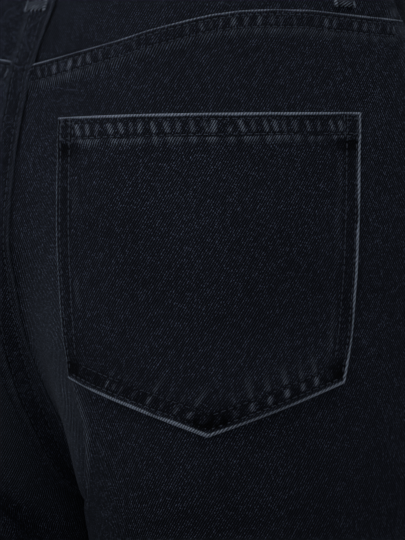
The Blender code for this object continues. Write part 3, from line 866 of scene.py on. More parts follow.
def seam_relief(kind, bars, s, w, seed):
    """Height in millimetres, and wear with painted shade in the dents of its rows, of a seam strip
    at places along and across it.
    """
    height = kind.rise * table_at(FOLD_EDGE, w) * (1 - smooth(kind.plateau, kind.foot, w))
    first = kind.rows[0] if kind.rows else 0.0
    last = kind.rows[-1] if len(kind.rows) > 1 else kind.plateau
    pattern = bar_pattern(bars, s, w)
    inside = between(first + 0.2, first + 1.2, last - 1.2, last - 0.2, w)
    beyond = between(last + 0.2, last + 1.0, last + 1.5, kind.foot, w)
    height = height + kind.bar_rise * ((pattern - 0.4) * inside + 0.8 * pattern * beyond)
    patchy = wander(seed + 7, s, SEAM_PATCHES)
    wear = (kind.between + kind.bar_wear * pattern * (0.6 + 0.6 * patchy)) * inside
    wear = wear + kind.band * (0.35 + 0.9 * pattern) * (0.5 + patchy) * beyond
    # painted shade in the dent of each row of stitches
    for row in kind.rows:
        dent = bell(w - row, DENT_NARROW)
        height = height - DENT * dent
        wear = wear - DENT_SHADE * dent
    return height - 0.15 * smooth(kind.foot - 0.5, kind.foot + 2, w), wear


def seam_widths(kind):
    """Distances across a strip, closer together at its folded edge and its rows."""
    marks = [edge for edge, _ in FOLD_EDGE]
    for row in kind.rows:
        marks += [row - ROW_BESIDE, row - 0.35, row, row + 0.35, row + ROW_BESIDE]
    marks += list(np.arange(1.3, kind.foot + 2.2, 1.15))
    kept = []
    for mark in sorted(marks):
        if not kept or mark - kept[-1] > LEAST_APART or mark < 0.1:
            kept.append(mark)
    return np.array(kept)


def upright_line(front, inner, top):
    """Where a place along and inside of an upright seam lies, in metres."""
    def find(s, w):
        depth = top + s
        share = w / cloth_length(depth, front)
        if front:
            return (2 - share if inner else np.maximum(1 + share, FRONT_START)), depth
        return (share if inner else 1 - share), depth
    return find


def curved_line(front, around, depth):
    """The same for a seam along a curve, and the curve's length."""
    start = 1.0 if front else 0.0
    x = (around - start) * cloth_length(depth, front)
    run = run_along(x, depth)
    slope_x, slope_y = np.gradient(x, run), np.gradient(depth, run)

    def find(s, w):
        level = np.interp(s, run, depth) + w * np.interp(s, run, slope_x)
        at = np.interp(s, run, x) - w * np.interp(s, run, slope_y)
        place = start + at / cloth_length(level, front)
        return np.clip(place, FRONT_START if front else 0.0, start + 1), level
    return find, run[-1]


def even_weave(cloth, points):
    """Cloth coordinates whose first axis follows the distance across the strip from its foot."""
    apart = np.linalg.norm(np.diff(points, axis=1), axis=-1)
    from_foot = np.cumsum(apart[:, ::-1], axis=1)[:, ::-1]
    inwards = np.sign(cloth[:, :1, 0] - cloth[:, -1:, 0])
    cloth[:, :-1, 0] = cloth[:, -1:, 0] + inwards * from_foot
    return cloth


def strip(name, side, find, length, kind_name, seed, group, step=STRIP_STEP, lift=None,
          lay=half_surface, even=False):
    """A seam's strip of cloth with its rows of stitches; length in metres."""
    kind = SEAMS[kind_name]
    length = length / MM
    bars = seam_bars(seed, length, kind)
    s = np.linspace(0, length, int(length / step) + 2)[:, None]
    w = seam_widths(kind)[None, :]

    def point(s, w, out):
        return lay(side, *find(s * MM, w * MM), out * MM)

    def relief(s, w):
        height, wear = seam_relief(kind, bars, s, w, seed)
        return height + (lift(s, w) if lift else 0.0), wear

    height, wear = relief(s, w)
    seam = np.stack(np.broadcast_arrays(s * MM, w * MM), axis=-1)
    rope = kind.rope * (0.55 + 0.6 * wander(seed + 3, s, ROPE_PATCHES))
    rope = np.broadcast_to(rope, height.shape)
    cloth, points = cloth_map(side, *find(s * MM, w * MM)), point(s, w, height)
    if even:
        cloth = even_weave(cloth, points)
    grid_piece(name, points, cloth, point(s, w, height + 2), seam=seam, wear=wear, rope=rope)
    marks = stitch_marks(length)
    for row in kind.rows:
        sew(group, point, marks, row, relief(marks, row)[0])


def over(at, wide, rise):
    """A rise in a strip where it passes over another seam."""
    return lambda s, w: rise * np.exp(-np.abs((s - at) / wide) ** 4)


# ---------------------------------------------------------------- leg panels, yokes and seams
BACK_GRID = (116, 290)       # columns and rows
FRONT_GRID = (64, 240)
YOKE_GRID = (90, 18)
FACING_GRID = (40, 34)
FINE_UP_TO = 0.35            # the back's columns are closer together from the middle to here
TUCKED = 1.5 * MM            # of a panel's top, between the two layers of the waistband
FORK = 294 * MM
SEAM_END = 12 * MM           # of the upright seams, above the hem's edge
# Patches of the back: rubbed ones, a little painted light on the left inner thigh at 305 mm, which
# lies in shade, and painted shade under the seat where the last value is below 0. Columns: around,
# depth, reach round and down in millimetres, wear.
RUBBED_AND_SHADED = {
    "left": ((0.10, 226, 24, 52, 0.16), (0.15, 305, 60, 50, 0.05), (0.42, 178, 60, 46, 0.03),
             (0.5, 585, 70, 60, 0.10), (0.58, 306, 100, 62, -0.30)),
    "right": ((0.10, 232, 26, 56, 0.20), (0.40, 165, 60, 50, 0.03), (0.5, 600, 70, 60, 0.10),
              (0.55, 310, 95, 64, -0.34)),
}
# The worn ridge down the inner thigh: depth in millimetres, around, wear.
RIDGE = (
    (204, 0.155, 0.0), (216, 0.174, 0.14), (228, 0.207, 0.20), (241, 0.234, 0.24),
    (253, 0.238, 0.22), (273, 0.251, 0.16), (300, 0.255, 0.10), (345, 0.250, 0.0),
)
RIDGE_WIDE = 1.9 * MM
# How far the seat seam's folded edge lies past the middle: depth and distance in millimetres.
SEAT_REACH = (
    (20, 4.0), (36, 4.0), (50, 2.8), (66, 1.8), (150, 2.0), (240, 2.4), (285, 0.5), (294, 0),
)
SEAT_LEVEL = 5 * MM          # within this of the middle the seam's layers rise straight back
SEAT_SHADOW = (0.95, 1.8 * MM)   # beside the fold of the seat seam: how dark, and how wide
SEAT_SHADOW_ENDS = (60 * MM, 230 * MM)


def yoke_depth(around):
    """Depth of the yoke seam."""
    return table_at(YOKE_SEAM, around) * MM


def scoop_depth(around):
    """Depth of the front panel's top edge: the waist seam, then the scoop of the pocket."""
    share = np.clip((around - 1) / SCOOP_AROUND, 0, 1)
    drop = (1 - share**SCOOP_ROUND) ** (1 / SCOOP_ROUND)
    return WAIST_SEAM + (SCOOP_DEPTH - WAIST_SEAM) * drop


def scoop_places(count):
    """Places along the scoop, closer together where it is steep."""
    return 1 + SCOOP_AROUND * np.sin(np.linspace(0, math.pi / 2, count))


def panel_places(around, top, rows):
    """Places of a leg panel: its upper rows follow its top edge, and the rest are level."""
    top = np.where(top > WAIST_SEAM + SEAM, top + SEAM, WAIST_SEAM - TUCKED)
    start = float(top.max())
    level = start + (HEM - start) * np.linspace(0, 1, rows)
    fade = np.clip((EVEN_DEPTH - level) / (EVEN_DEPTH - start), 0, 1)
    return around[None, :], level[:, None] - fade[:, None] * (start - top)[None, :]


def back_wear_and_shade(word, around, depth):
    """Wear of a back panel where it is rubbed when sitting and bending, with a little painted
    light on the shaded inner thigh, painted shade under the seat, and the painted shadow beside
    the seat seam.
    """
    wear = np.zeros(np.broadcast(around, depth).shape)
    wide_here = cloth_length(depth, False)
    for at, level, wide, tall, strong in RUBBED_AND_SHADED[word]:
        across = (around - at) * wide_here / (wide * MM)
        wear += strong * np.exp(-(across**2) - ((depth - level * MM) / (tall * MM)) ** 2)
    levels, places, strengths = np.array(RIDGE).T
    across = (around - np.interp(depth / MM, levels, places)) * wide_here
    wear += np.interp(depth / MM, levels, strengths, 0, 0) * bell(across, RIDGE_WIDE)
    return wear + seat_shadow(word, around, depth)


def seat_shadow(word, around, depth):
    """The dark line on the right of the seat seam's fold."""
    dark, wide = SEAT_SHADOW
    past = table_at(SEAT_REACH, depth / MM) * MM
    beyond = np.maximum(around * cloth_length(depth, False) - past, 0)
    return -dark * (word == "right") * bell(beyond, wide) * (1 - smooth(*SEAT_SHADOW_ENDS, depth))


def make_leg(word, side):
    """The back and front panels and the yoke of one side."""
    columns, rows = BACK_GRID
    around = np.concatenate([np.linspace(0, FINE_UP_TO, columns // 2),
                             np.linspace(FINE_UP_TO, 1, columns // 2)[1:]])
    places = panel_places(around, yoke_depth(around), rows)
    panel(f"back_cloth_{word}", side, *places, f"back_{word}", wear=back_wear_and_shade(word, *places))
    columns, rows = FRONT_GRID
    around = np.concatenate([[FRONT_START], scoop_places(columns // 2)[1:],
                             np.linspace(1 + SCOOP_AROUND, 2, columns // 2)[1:]])
    places = panel_places(around, scoop_depth(around), rows)
    panel(f"front_cloth_{word}", side, *places, f"front_{word}")
    columns, rows = YOKE_GRID
    around, top = np.linspace(0, 1, columns), WAIST_SEAM - TUCKED
    depth = top + (yoke_depth(around) + SEAM - top) * np.linspace(0, 1, rows)[:, None]
    panel(f"yoke_cloth_{word}", side, around[None, :], depth, f"yoke_{word}",
          wear=seat_shadow(word, around, depth))


def make_seams(word, side):
    """The seams of one side."""
    back, front = f"back_{word}", f"front_{word}"
    seed = 11 if side > 0 else 12
    around = np.linspace(0, 1, 120)
    find, length = curved_line(False, around, yoke_depth(around))
    strip(f"yoke_seam_{word}", side, find, length, "yoke", seed, back)
    for name, is_front, inner, top, kind, group, lift in (
        ("side_seam_back", False, False, WAIST_SEAM, "side", back, over(26, 9, 0.9)),
        ("side_seam_front", True, False, SCOOP_DEPTH + MM, "side", front, None),
        ("inseam", False, True, FORK, "inseam", back, None),
    ):
        seed += 10
        find = upright_line(is_front, inner, top)
        strip(f"{name}_{word}", side, find, HEM - SEAM_END - top, kind, seed, group,
              LONG_STRIP_STEP, lift)
    around = scoop_places(90)
    around[0] = FRONT_START
    find, length = curved_line(True, around, scoop_depth(around))
    strip(f"scoop_{word}", side, find, length, "scoop", seed + 10, front)


def make_seat_seam():
    """The seam down the middle of the back, folded towards the left."""
    middle_column = (SEAMS["seat"].rows[0] - ROW_BESIDE) * MM
    crossing = (YOKE_SEAM[0][1] * MM - WAIST_SEAM) / MM + 5

    def find(s, w):
        depth = WAIST_SEAM + s
        past = table_at(SEAT_REACH, depth / MM) * MM
        beyond = w - middle_column
        across = np.where(beyond < 0, beyond * past / middle_column, beyond)
        return across / cloth_length(depth, False), depth

    def lay(side, around, depth, out):
        base, points = surface(around, depth), surface(around, depth, out)
        level = smooth(0, SEAT_LEVEL, np.abs(base[..., 0]))
        points[..., 0] = base[..., 0] + (points[..., 0] - base[..., 0]) * level
        return points

    strip("seat_seam", 1, find, FORK - WAIST_SEAM, "seat", 51, "back_left",
          lift=over(crossing, 9, 1.1), lay=lay, even=True)


def make_facing(word, side):
    """The denim behind the scoop of a front pocket."""
    columns, rows = FACING_GRID
    around = np.linspace(FRONT_START, 1 + FACING_AROUND, columns)[None, :]
    depth = np.linspace(WAIST_SEAM - TUCKED, FACING_DEPTH, rows)[:, None]
    beyond_top = smooth(0, 5 * MM, depth - WAIST_SEAM)
    under_front = smooth(0.97, 1.06, (around - 1) / SCOOP_AROUND)
    out = FACING_OUT * np.maximum(beyond_top, under_front)
    panel(f"pocket_facing_cloth_{word}", side, around, depth, f"pocket_facing_{word}", out)


# ---------------------------------------------------------------- patch pockets
POCKET_LEVEL = 1.5           # height of the pocket's cloth over the panel, millimetres
POCKET_STEP = 1.15
POCKET_DEEP = 130.0          # about the length of its sides
POCKET_WIDE = 160            # more than the length of its mouth
POCKET_RUNS = {              # corners of the outline along each of its sides
    "top": (0, 1), "right": (1, 2, 3, 4, 5), "low_right": (5, 6), "low_left": (6, 7),
    "left": (7, 8, 9, 10, 0),
}
POCKET_ROPES = (1.0, 1.2, 0.9, 1.0, 0.5)   # wear of the edge at each of them
POCKET_STARTS = np.array((0, 0.08, 0.25, 0.6, 1.1, 1.8))   # close columns along its edges
POCKET_EDGE = ((0, 0.02), (0.08, 0.3), (0.25, 0.62), (0.6, 0.9), (1.1, 1.0))   # share of height
MOUTH_ROWS = (3.3, 10.6)     # of the pocket's mouth, from its edge
MOUTH_TURN = 13.0
LOW_ROWS = (3.5, 9.9)
SIDE_ROWS = (3.0, 8.2)
ALLOWANCE = 11.4             # width of the cloth folded under at the sides and below
BOX_WIDE = 10.5              # the reinforced corners at the mouth
# Threads of a reinforced corner: from and to, inwards and down from the corner in millimetres.
BOX_THREADS = (
    (1.2, 2.0, 10.2, 1.8), (1.0, 3.9, 10.4, 3.6), (10.2, 2.0, 9.8, 13.2), (9.8, 13.2, 2.4, 10.4),
    (2.6, 2.6, 2.2, 12.4),
)
# Puckers over the lower edges of the pocket: place along the edge, length, half width, strength.
LOW_PUCKERS = {
    "low_right": ((7, 9, 1.5, .5), (14, 11, 1.7, 1.0), (21, 10, 1.6, .9), (29, 12, 1.8, 1.0),
                  (37.5, 11, 1.6, .9), (46, 13, 1.9, .8), (54, 10, 1.6, .7), (62, 9, 1.5, .5)),
    "low_left": ((6, 9, 1.6, .7), (13, 12, 1.7, .9), (20, 8, 1.4, .7), (27, 9, 1.2, .6),
                 (34, 11, 1.5, .8), (42, 8, 1.2, .6), (49, 10, 1.4, .6), (53, 6, 0.9, .8),
                 (57, 6, 0.9, .9), (66, 7, 1.0, .5), (74, 7, 1.3, .3)),
}


def run_distance(corners, x, y):
    """Distance from a line through these corners, and the place along it."""
    nearest, along, start = np.full(x.shape, np.inf), np.zeros(x.shape), 0.0
    for (ax, ay), (bx, by) in zip(corners[:-1], corners[1:]):
        dx, dy = bx - ax, by - ay
        length = math.hypot(dx, dy)
        share = np.clip(((x - ax) * dx + (y - ay) * dy) / length**2, 0, 1)
        apart = np.hypot(x - ax - share * dx, y - ay - share * dy)
        along = np.where(apart < nearest, start + share * length, along)
        nearest = np.minimum(nearest, apart)
        start += length
    return nearest, along


def run_corners(run):
    """Corners of the outline along a run of them, and the length along it at each."""
    corners = np.array(POCKET_OUTLINE, float)[list(run)]
    return corners, run_along(*corners.T)


def run_places(run, share):
    """Flat places at shares of the way along a run."""
    corners, length = run_corners(run)
    return np.stack([np.interp(share * length[-1], length, part) for part in corners.T], axis=-1)


def pocket_sides(x, y):
    """For each side of the pocket: distance from it and place along it."""
    return {name: run_distance(run_corners(run)[0], x, y) for name, run in POCKET_RUNS.items()}


def mouth_relief(sides, flank, mouth, seed):
    """Height and wear that the mouth adds: puckers between and under its rows, and its corners;
    painted shade in the rows' dents and below the corners.
    """
    top, along = sides["top"]
    box = (1 - smooth(BOX_WIDE - 0.6, BOX_WIDE + 0.4, flank)) * mouth
    pattern = bar_pattern(seam_bars(seed, POCKET_WIDE, SEAMS["yoke"]), along, top)
    first, second = MOUTH_ROWS
    inside = between(first + 0.3, first + 1.3, second - 1.4, second - 0.4, top) * (1 - box)
    beyond = between(second + 0.2, second + 1.0, second + 1.6, second + 5, top) * (1 - box)
    # painted shade below the raised reinforced corners
    under_box_shade = between(12.8, 13.6, 17.0, 22.0, top) * (1 - smooth(11.0, 18.0, flank))
    dents = sum(bell(top - row, DENT_WIDE) for row in MOUTH_ROWS)
    height = 0.32 * (pattern - 0.4) * inside + 0.22 * pattern * beyond - DENT * dents
    wear = (1.2 * pattern - 0.34) * inside + (0.04 + 0.6 * pattern) * beyond
    return height, wear - 0.6 * under_box_shade - DENT_SHADE * dents - 0.25 * box


def low_relief(sides, flank, mouth):
    """The same for the two lower edges."""
    height, wear = np.zeros(flank.shape), np.zeros(flank.shape)
    for name, puckers in LOW_PUCKERS.items():
        apart, along = sides[name]
        inside = between(3.9, 5.2, 8.2, 9.5, apart)
        for at, long, wide, strong in puckers:
            aside = strong * bell(along - at + 0.12 * (apart - 7), wide)
            above = between(10.2, 11.2, 10.5, 10.5 + long, apart)
            height += aside * (0.30 * inside + 0.55 * above)
            wear += aside * (1.4 * inside + 0.62 * above)
        near, shade = between(3.6, 4.6, 8.6, 9.6, apart), between(10, 11, 12, 20, apart)
        # painted shade in the dents of the rows of stitches
        dents = sum(bell(apart - row, DENT_WIDE) for row in LOW_ROWS) * (flank > 1.0)
        height -= DENT * dents * (1 - mouth)
        wear -= (0.6 * near + 0.22 * shade + DENT_SHADE * dents) * (1 - mouth)
    return height, wear


def flank_relief(sides, low, mouth, seed):
    """The same for the two sides, which are worn less."""
    height, wear = np.zeros(low.shape), np.zeros(low.shape)
    plain = (1 - mouth) * (low > LOW_ROWS[0])
    for name in ("left", "right"):
        apart, along = sides[name]
        uneven = wander(seed + len(name), along, 14.0)
        outer, inner = (bell(apart - row, DENT_WIDE) for row in SIDE_ROWS)
        ripple = np.sin(along / (2.1 + 0.5 * uneven)) * bell(apart - 5.5, 2.6)
        height += (0.06 * ripple - 0.18 * outer - 0.14 * inner * (low > LOW_ROWS[1])) * plain
        streak = bell(apart - ALLOWANCE - 0.2, 1.3) * (low > 14)
        wear += 0.22 * np.maximum(uneven - 0.35, 0) * streak * plain
        wear -= 0.30 * between(1.8, 2.6, 8.5, 11, apart) * plain
    return height, wear


def pocket_relief(x, y, seed):
    """Height over the panel in millimetres, and wear with painted shade, at flat places on the
    pocket.
    """
    sides = pocket_sides(x, y)
    top = sides["top"][0]
    low = np.minimum(sides["low_right"][0], sides["low_left"][0])
    flank = np.minimum(sides["left"][0], sides["right"][0])
    mouth = 1 - smooth(MOUTH_TURN, MOUTH_TURN + 1.6, top)
    border = 1 - smooth(ALLOWANCE, ALLOWANCE + 2.0, np.minimum(low, flank))
    layers = POCKET_LEVEL + 0.75 * mouth + 0.40 * border * (1 - 0.5 * mouth)
    heights, wear_and_shade_parts = zip(mouth_relief(sides, flank, mouth, seed), low_relief(sides, flank, mouth),
                         flank_relief(sides, low, mouth, seed))
    edge = np.minimum(np.minimum(low, flank), top)
    return (layers + sum(heights)) * table_at(POCKET_EDGE, edge), sum(wear_and_shade_parts)


def pocket_places(length):
    """Distances from 0 to length, closer together at both ends."""
    middle = np.linspace(2.6, length - 2.6, int((length - 5.2) / POCKET_STEP) + 2)
    return np.concatenate([POCKET_STARTS, middle, length - POCKET_STARTS[::-1]])


def pocket_grid():
    """Flat places on the pocket, in rows from its mouth to its point."""
    low_run = (7, 6, 5)
    left, right = np.diff(run_corners(low_run)[1])
    turn = left / (left + right)
    before, after = pocket_places(left) / left, pocket_places(right) / right
    before, after = before[before < 1 - 2 / left], after[after > 2 / right]
    a = np.concatenate([before * turn, [turn], turn + after * (1 - turn)])
    b = pocket_places(POCKET_DEEP) / POCKET_DEEP
    top, low = run_places(POCKET_RUNS["top"], a), run_places(low_run, a)
    left, right = run_places(POCKET_RUNS["left"], 1 - b), run_places(POCKET_RUNS["right"], b)
    a, b = a[None, :, None], b[:, None, None]
    corners = ((1 - a) * (1 - b) * top[0] + a * (1 - b) * top[-1]
               + (1 - a) * b * low[0] + a * b * low[-1])
    flat = (1 - b) * top + b * low + (1 - a) * left[:, None] + a * right[:, None] - corners
    return flat[..., 0], flat[..., 1]


def inset_row(name, distance, start, end):
    """Flat places of the stitches along a side of the pocket, at a distance inside it."""
    run = POCKET_RUNS[name]
    corners, length = run_corners(run)
    steps = np.diff(corners, axis=0)
    inward = np.stack([-steps[:, 1], steps[:, 0]], axis=1) / np.diff(length)[:, None]
    marks = stitch_marks(length[-1] - start - end) + start
    number = np.clip(np.searchsorted(length, marks, side="right") - 1, 0, len(steps) - 1)
    return run_places(run, marks / length[-1]) + inward[number] * distance


def pocket_rows():
    """Flat places of the stitches of a pocket, row by row."""
    rows = [inset_row("top", row, 1.5, 1.5) for row in MOUTH_ROWS]
    for corner, inwards in zip(np.array(POCKET_OUTLINE[:2]), (1, -1)):
        for ax, ay, bx, by in BOX_THREADS:
            start, end = corner + (inwards * ax, ay), corner + (inwards * bx, by)
            length = np.hypot(*(end - start))
            rows.append(start + (end - start) * (stitch_marks(length) / length)[..., None])
    for side_row, low_row in zip(SIDE_ROWS, LOW_ROWS):
        for name, row, start, end in (
            ("right", side_row, 1.5, low_row + 1.0), ("left", side_row, low_row + 1.0, 1.5),
            ("low_right", low_row, side_row, low_row * 0.4),
            ("low_left", low_row, low_row * 0.4, side_row),
        ):
            rows.append(inset_row(name, row, start, end))
    return rows


def make_pocket(word, side):
    """A patch pocket with its worn edges, puckers and stitches."""
    def point(x, y, out):
        depth = POCKET_TOP + y * MM
        around = POCKET_MIDDLE + x * MM / cloth_length(depth, False)
        return half_surface(side, around, depth, out * MM)

    seed = 70 + side
    x, y = pocket_grid()
    height, wear = pocket_relief(x, y, seed)
    sides = pocket_sides(x, y)
    sets = np.stack([np.stack([along, apart], axis=-1) * MM for apart, along in sides.values()])
    nearest = (sets[:, :-1, :-1, 1] + sets[:, 1:, 1:, 1]).argmin(axis=0)
    strength = np.array(POCKET_ROPES)[sets[..., 1].argmin(axis=0)]
    rope = strength * (0.6 + 0.5 * wander(seed, np.abs(x + y) + 5, 9.0))
    cloth = np.stack([-side * x, -y], axis=-1) * MM + np.array([0.31, 0.17])
    grid_piece(
        f"pocket_cloth_{word}", point(x, y, height), cloth, point(x, y, height + 2),
        seam=sets, nearest=nearest, wear=wear, rope=rope,
        stands_for=(f"back_pocket_{word}",),
    )
    for flat in pocket_rows():
        x, y = flat[..., 0], flat[..., 1]
        sew(f"pocket_{word}", point, x, y, pocket_relief(x, y, seed)[0])


# ---------------------------------------------------------------- hems
HEM_TALL = 17.0              # of the relief outside, millimetres above the edge
HEM_SEWN = 14.0              # the row of stitches, above the edge
HEM_STEP = 1.5
# Round the hem's edge and up inside: millimetres above the edge, and lift off the panels.
HEM_TURN = ((0, 0.1), (-0.6, -0.2), (-1.2, -1.0), (-1.5, -2.0), (-1.2, -3.0), (-0.4, -3.7))
HEM_INSIDE = [(up, -3.7) for up in np.linspace(2.0, 16.0, 9)] + [(16.3, -1.4)]
# Puckers of the hem: spacing, then ranges of its share, half width, strength and slant.
HEM_BARS = 6.3
HEM_BAR_RANGES = ((0.75, 1.3), (1.1, 1.9), (0.4, 1.0), (0.25, 0.7))


def hem_relief(s, up, seed):
    """Height in millimetres, and wear with painted shade in the groove of its row, of a hem's
    outer side at places round it and up it.
    """
    pattern = bar_pattern(make_bars(seed, np.max(s), HEM_BARS, HEM_BAR_RANGES), s, up, 7)
    body = 1 - smooth(HEM_SEWN - 1, HEM_TALL, up)
    sewn = bell(up - HEM_SEWN, DENT_WIDE)
    height = 0.1 + 0.25 * body + 0.45 * (pattern - 0.4) * body - 0.35 * sewn
    # painted shade in the groove of the row of stitches; the paler bottom is the worn edge
    wear = (0.5 * pattern - 0.08) * body - 0.8 * sewn + 0.3 * (1 - smooth(0.5, 2.5, up))
    return height, wear


def make_hem(word, side):
    """The turned-up hem of one leg: outside, round its edge and up inside."""
    seed = 90 + side
    arc_back, arc_front = (cloth_length(HEM - SEAM_END, front) / MM for front in (False, True))
    total = arc_back + arc_front

    def point(s, up, out):
        around = np.where(s < arc_back, s / arc_back, 1 + (s - arc_back) / arc_front)
        return half_surface(side, np.clip(around, 0, 2), HEM - up * MM, out * MM)

    s = np.linspace(0, total, int(total / HEM_STEP))
    outer = np.concatenate([np.linspace(HEM_TALL, 1.5, 13), (1.0, 0.5)])
    height, wear = hem_relief(s, outer[:, None], seed)
    turn, inside = np.array(HEM_TURN), np.array(HEM_INSIDE)
    up = np.concatenate([outer, turn[:, 0], inside[:, 0]])[:, None]
    lift = np.concatenate([height, turn[:, 1:] + 0.8 * height[-1], inside[:, 1:] + 0 * s])
    wear = np.concatenate([wear, np.repeat(wear[-1:], len(turn), axis=0), inside[:, 1:] * 0 * s])
    s, up = np.broadcast_arrays(s, up)
    cloth = np.stack([-side * s, up - HEM / MM], axis=-1) * MM
    seam = np.stack([s, np.abs(up)], axis=-1) * MM
    rope = np.where(np.arange(len(up)) < len(outer) + 4, 0.5, 0.0)[:, None]
    rope = rope * (0.4 + 0.8 * wander(seed, s, 8.0))
    grid_piece(f"hem_{word}", point(s, up, lift), cloth, point(s, up, lift + 2), seam=seam,
               wear=wear, rope=rope)
    marks = stitch_marks(total)
    sew(f"back_{word}", point, marks, HEM_SEWN, hem_relief(marks, HEM_SEWN, seed)[0])


# ---------------------------------------------------------------- waistband and belt loops
BAND_SEWN = (1.8, 37.9)      # rows of stitches, from the waistband's top edge in millimetres
BAND_STEP_ALONG = 1.6
BAND_STEP_DOWN = 1.4
BAND_HALF = BAND_THICK / MM / 2
BAND_HIGH = (BAND_TALL - SEAM) / MM
BAND_SEWN_IN = (2.0, 2.5)    # where the rows along it and up its ends begin
BUTTONHOLE = (9.5, 3.2)      # half its length and half its width
HOLE_THREADS = 60
HOLE_RISE = 0.15
LOOP_SEWN = 3.4              # rows of stitches, from the loop's middle line
LOOP_SEWN_IN = 1.5           # where they begin
LOOP_SUNK = 0.1              # how deep they are drawn into the loop
LOOP_STEP = 1.1
LOOP_SIDES = 28
LOOP_END = 1.2               # length of its rounded ends
LOOP_TACKS = (4, 3.5)        # from its upper and lower end


def round_end(distance, radius):
    """Share of its full thickness that a rounded edge has at a distance inside it."""
    return np.sqrt(1 - np.clip(1 - distance / radius, 0, 1) ** 2)


def band_out(place):
    """How far the waistband's outer face stands out: its right end dips under the left one."""
    under = BAND_OUT - BAND_THICK - GAP
    return under + (BAND_OUT - under) * smooth(0, BAND_STEP, place + 2 - BAND_STEP_START)


def band_relief(s, t):
    """Height, and wear with painted shade in the grooves of its rows, of the waistband's outer
    face, t millimetres below its top edge.
    """
    from_row = np.minimum(*(np.abs(t - row) for row in BAND_SEWN))
    sewn = bell(from_row, DENT_NARROW)
    ripple = np.sin(s / 1.9 + 3 * wander(5, s, 17.0)) * bell(from_row, 2.6)
    # painted shade in the grooves of the rows of stitches
    wear = -0.7 * sewn + 0.35 * np.maximum(ripple, 0) * wander(6, s, 11.0)
    return 0.10 * ripple - 0.30 * sewn, wear + 0.12 * wander(8, s, 40.0)


def make_waistband():
    """The waistband: outer face, rounded top edge, and inner face."""
    fine = np.linspace(-2 - UNDERLAP, 2 + OVERLAP, 900)
    way = surface(fine, np.zeros(len(fine)), BAND_OUT)
    run = np.concatenate([[0], np.cumsum(np.linalg.norm(np.diff(way, axis=0), axis=1))]) / MM
    total, middle = run[-1], BAND_TALL / MM / 2

    def point(s, t, out):
        places = np.interp(s, run, fine)
        return surface(places, (t - middle) * MM, band_out(places) + out * MM)

    s = close_ends(0, total, 2.2, BAND_STEP_ALONG)
    t = list(close_ends(0, BAND_HIGH, 2.4, BAND_STEP_DOWN))
    t += [row + step for row in BAND_SEWN for step in (-0.4, 0, 0.4)]
    t = np.unique(np.round(t, 3))
    t = np.concatenate([t[::-1], t])[:, None]
    outer = np.arange(len(t))[:, None] < len(t) // 2
    from_edge, from_end = np.minimum(t, BAND_HIGH - t), np.minimum(s, total - s)
    facing = np.where(outer, 1, -1)
    height, wear = band_relief(s, t)
    height = np.where(outer & (from_end > BAND_HALF), height, 0)
    thick = facing * round_end(from_edge, BAND_HALF) * round_end(from_end, BAND_HALF)
    out = BAND_HALF * (thick - 1) + height
    s, t = np.broadcast_arrays(s, t)
    seam = np.stack([s, np.minimum(t, BAND_HIGH - t + 1)], axis=-1) * MM
    grid_piece(
        "waistband_cloth", point(s, t, out), np.stack([t, s], axis=-1) * MM,
        point(s, t, out + 2 * facing), seam=seam,
        wear=np.where(outer, wear, 0), rope=0.5 * (0.5 + wander(9, s, 9.0)),
        stands_for=("waistband",),
    )
    marks = stitch_marks(total - 2 * BAND_SEWN_IN[0]) + BAND_SEWN_IN[0]
    for row in BAND_SEWN:
        sew("waistband", point, marks, row, band_relief(marks, row)[0])
    marks = stitch_marks(BAND_HIGH - 2 * BAND_SEWN_IN[1]) + BAND_SEWN_IN[1]
    for end in (BAND_SEWN[0], total - BAND_SEWN[0]):
        sew("waistband", point, end, marks)
    turn = np.linspace(0, 2 * math.pi, HOLE_THREADS, endpoint=False)[:, None]
    reach = 1 + 0.5 * ARCH_SHARES
    long, wide = BUTTONHOLE
    sew("waistband", point, np.interp(2.0, fine, run) + long * np.cos(turn) * reach,
        middle + wide * np.sin(turn) * reach, HOLE_RISE)


def make_loop(name, place, tail):
    """A belt loop: a folded strip over the waistband with two rows of stitches."""
    width = half_length(0.0, abs(place) > 1) / MM
    depths, path = np.array(LOOP_PATH, float).T
    depths[-1] += tail
    top, low = depths[0], depths[-1]
    half_wide, half_thick = LOOP_WIDE / MM / 2, LOOP_THICK / MM / 2

    def point(x, depth, out):
        lift = curve_through(depths, path + half_thick, depth) + out
        return surface(place + x / width, depth * MM, lift * MM)

    depth = close_ends(top, low, 2.2, LOOP_STEP)[:, None]
    angle = np.linspace(0, 2 * math.pi, LOOP_SIDES + 1)[None, :]
    x = half_wide * blunt(np.cos(angle), 0.45)
    across = blunt(np.sin(angle), 0.5)
    thin = round_end(np.minimum(depth - top, low - depth), LOOP_END)
    seed = int(1000 * abs(place)) + (5 if place > 0 else 6)
    ridge = bell(np.abs(x) - LOOP_SEWN, DENT_NARROW)
    uneven = wander(seed, depth + 30, 5.0)
    out = thin * (half_thick * across + (across > 0) * (0.25 * uneven - 0.28 * ridge))
    tip = smooth(low - 6, low - 1, depth)
    # painted shade in the grooves of the rows of stitches (ridge); the paler tip is worn
    wear = (across > 0) * (0.25 * uneven - 0.7 * ridge + 0.35 * tip)
    x, depth = np.broadcast_arrays(x, depth)
    grid_piece(
        f"{name}_cloth", point(x, depth, out), np.stack([depth, x], axis=-1) * MM,
        point(x, depth, out + 2 * np.sign(across + 1e-9)),
        seam=np.stack([depth + 30, half_wide - np.abs(x)], axis=-1) * MM,
        wear=wear, rope=0.6 * (0.5 + wander(seed + 1, depth + 30, 6.0)),
        stands_for=(name,),
    )
    marks = stitch_marks(low - top - 2 * LOOP_SEWN_IN) + top + LOOP_SEWN_IN
    for row in (-LOOP_SEWN, LOOP_SEWN):
        sew("loops", point, row, marks, half_thick - LOOP_SUNK)
    for middle in (top + LOOP_TACKS[0], low - LOOP_TACKS[1]):
        tack("loops", lambda x, depth, out: point(x, depth, out + half_thick), -half_wide + 0.8,
             half_wide - 0.8, middle)


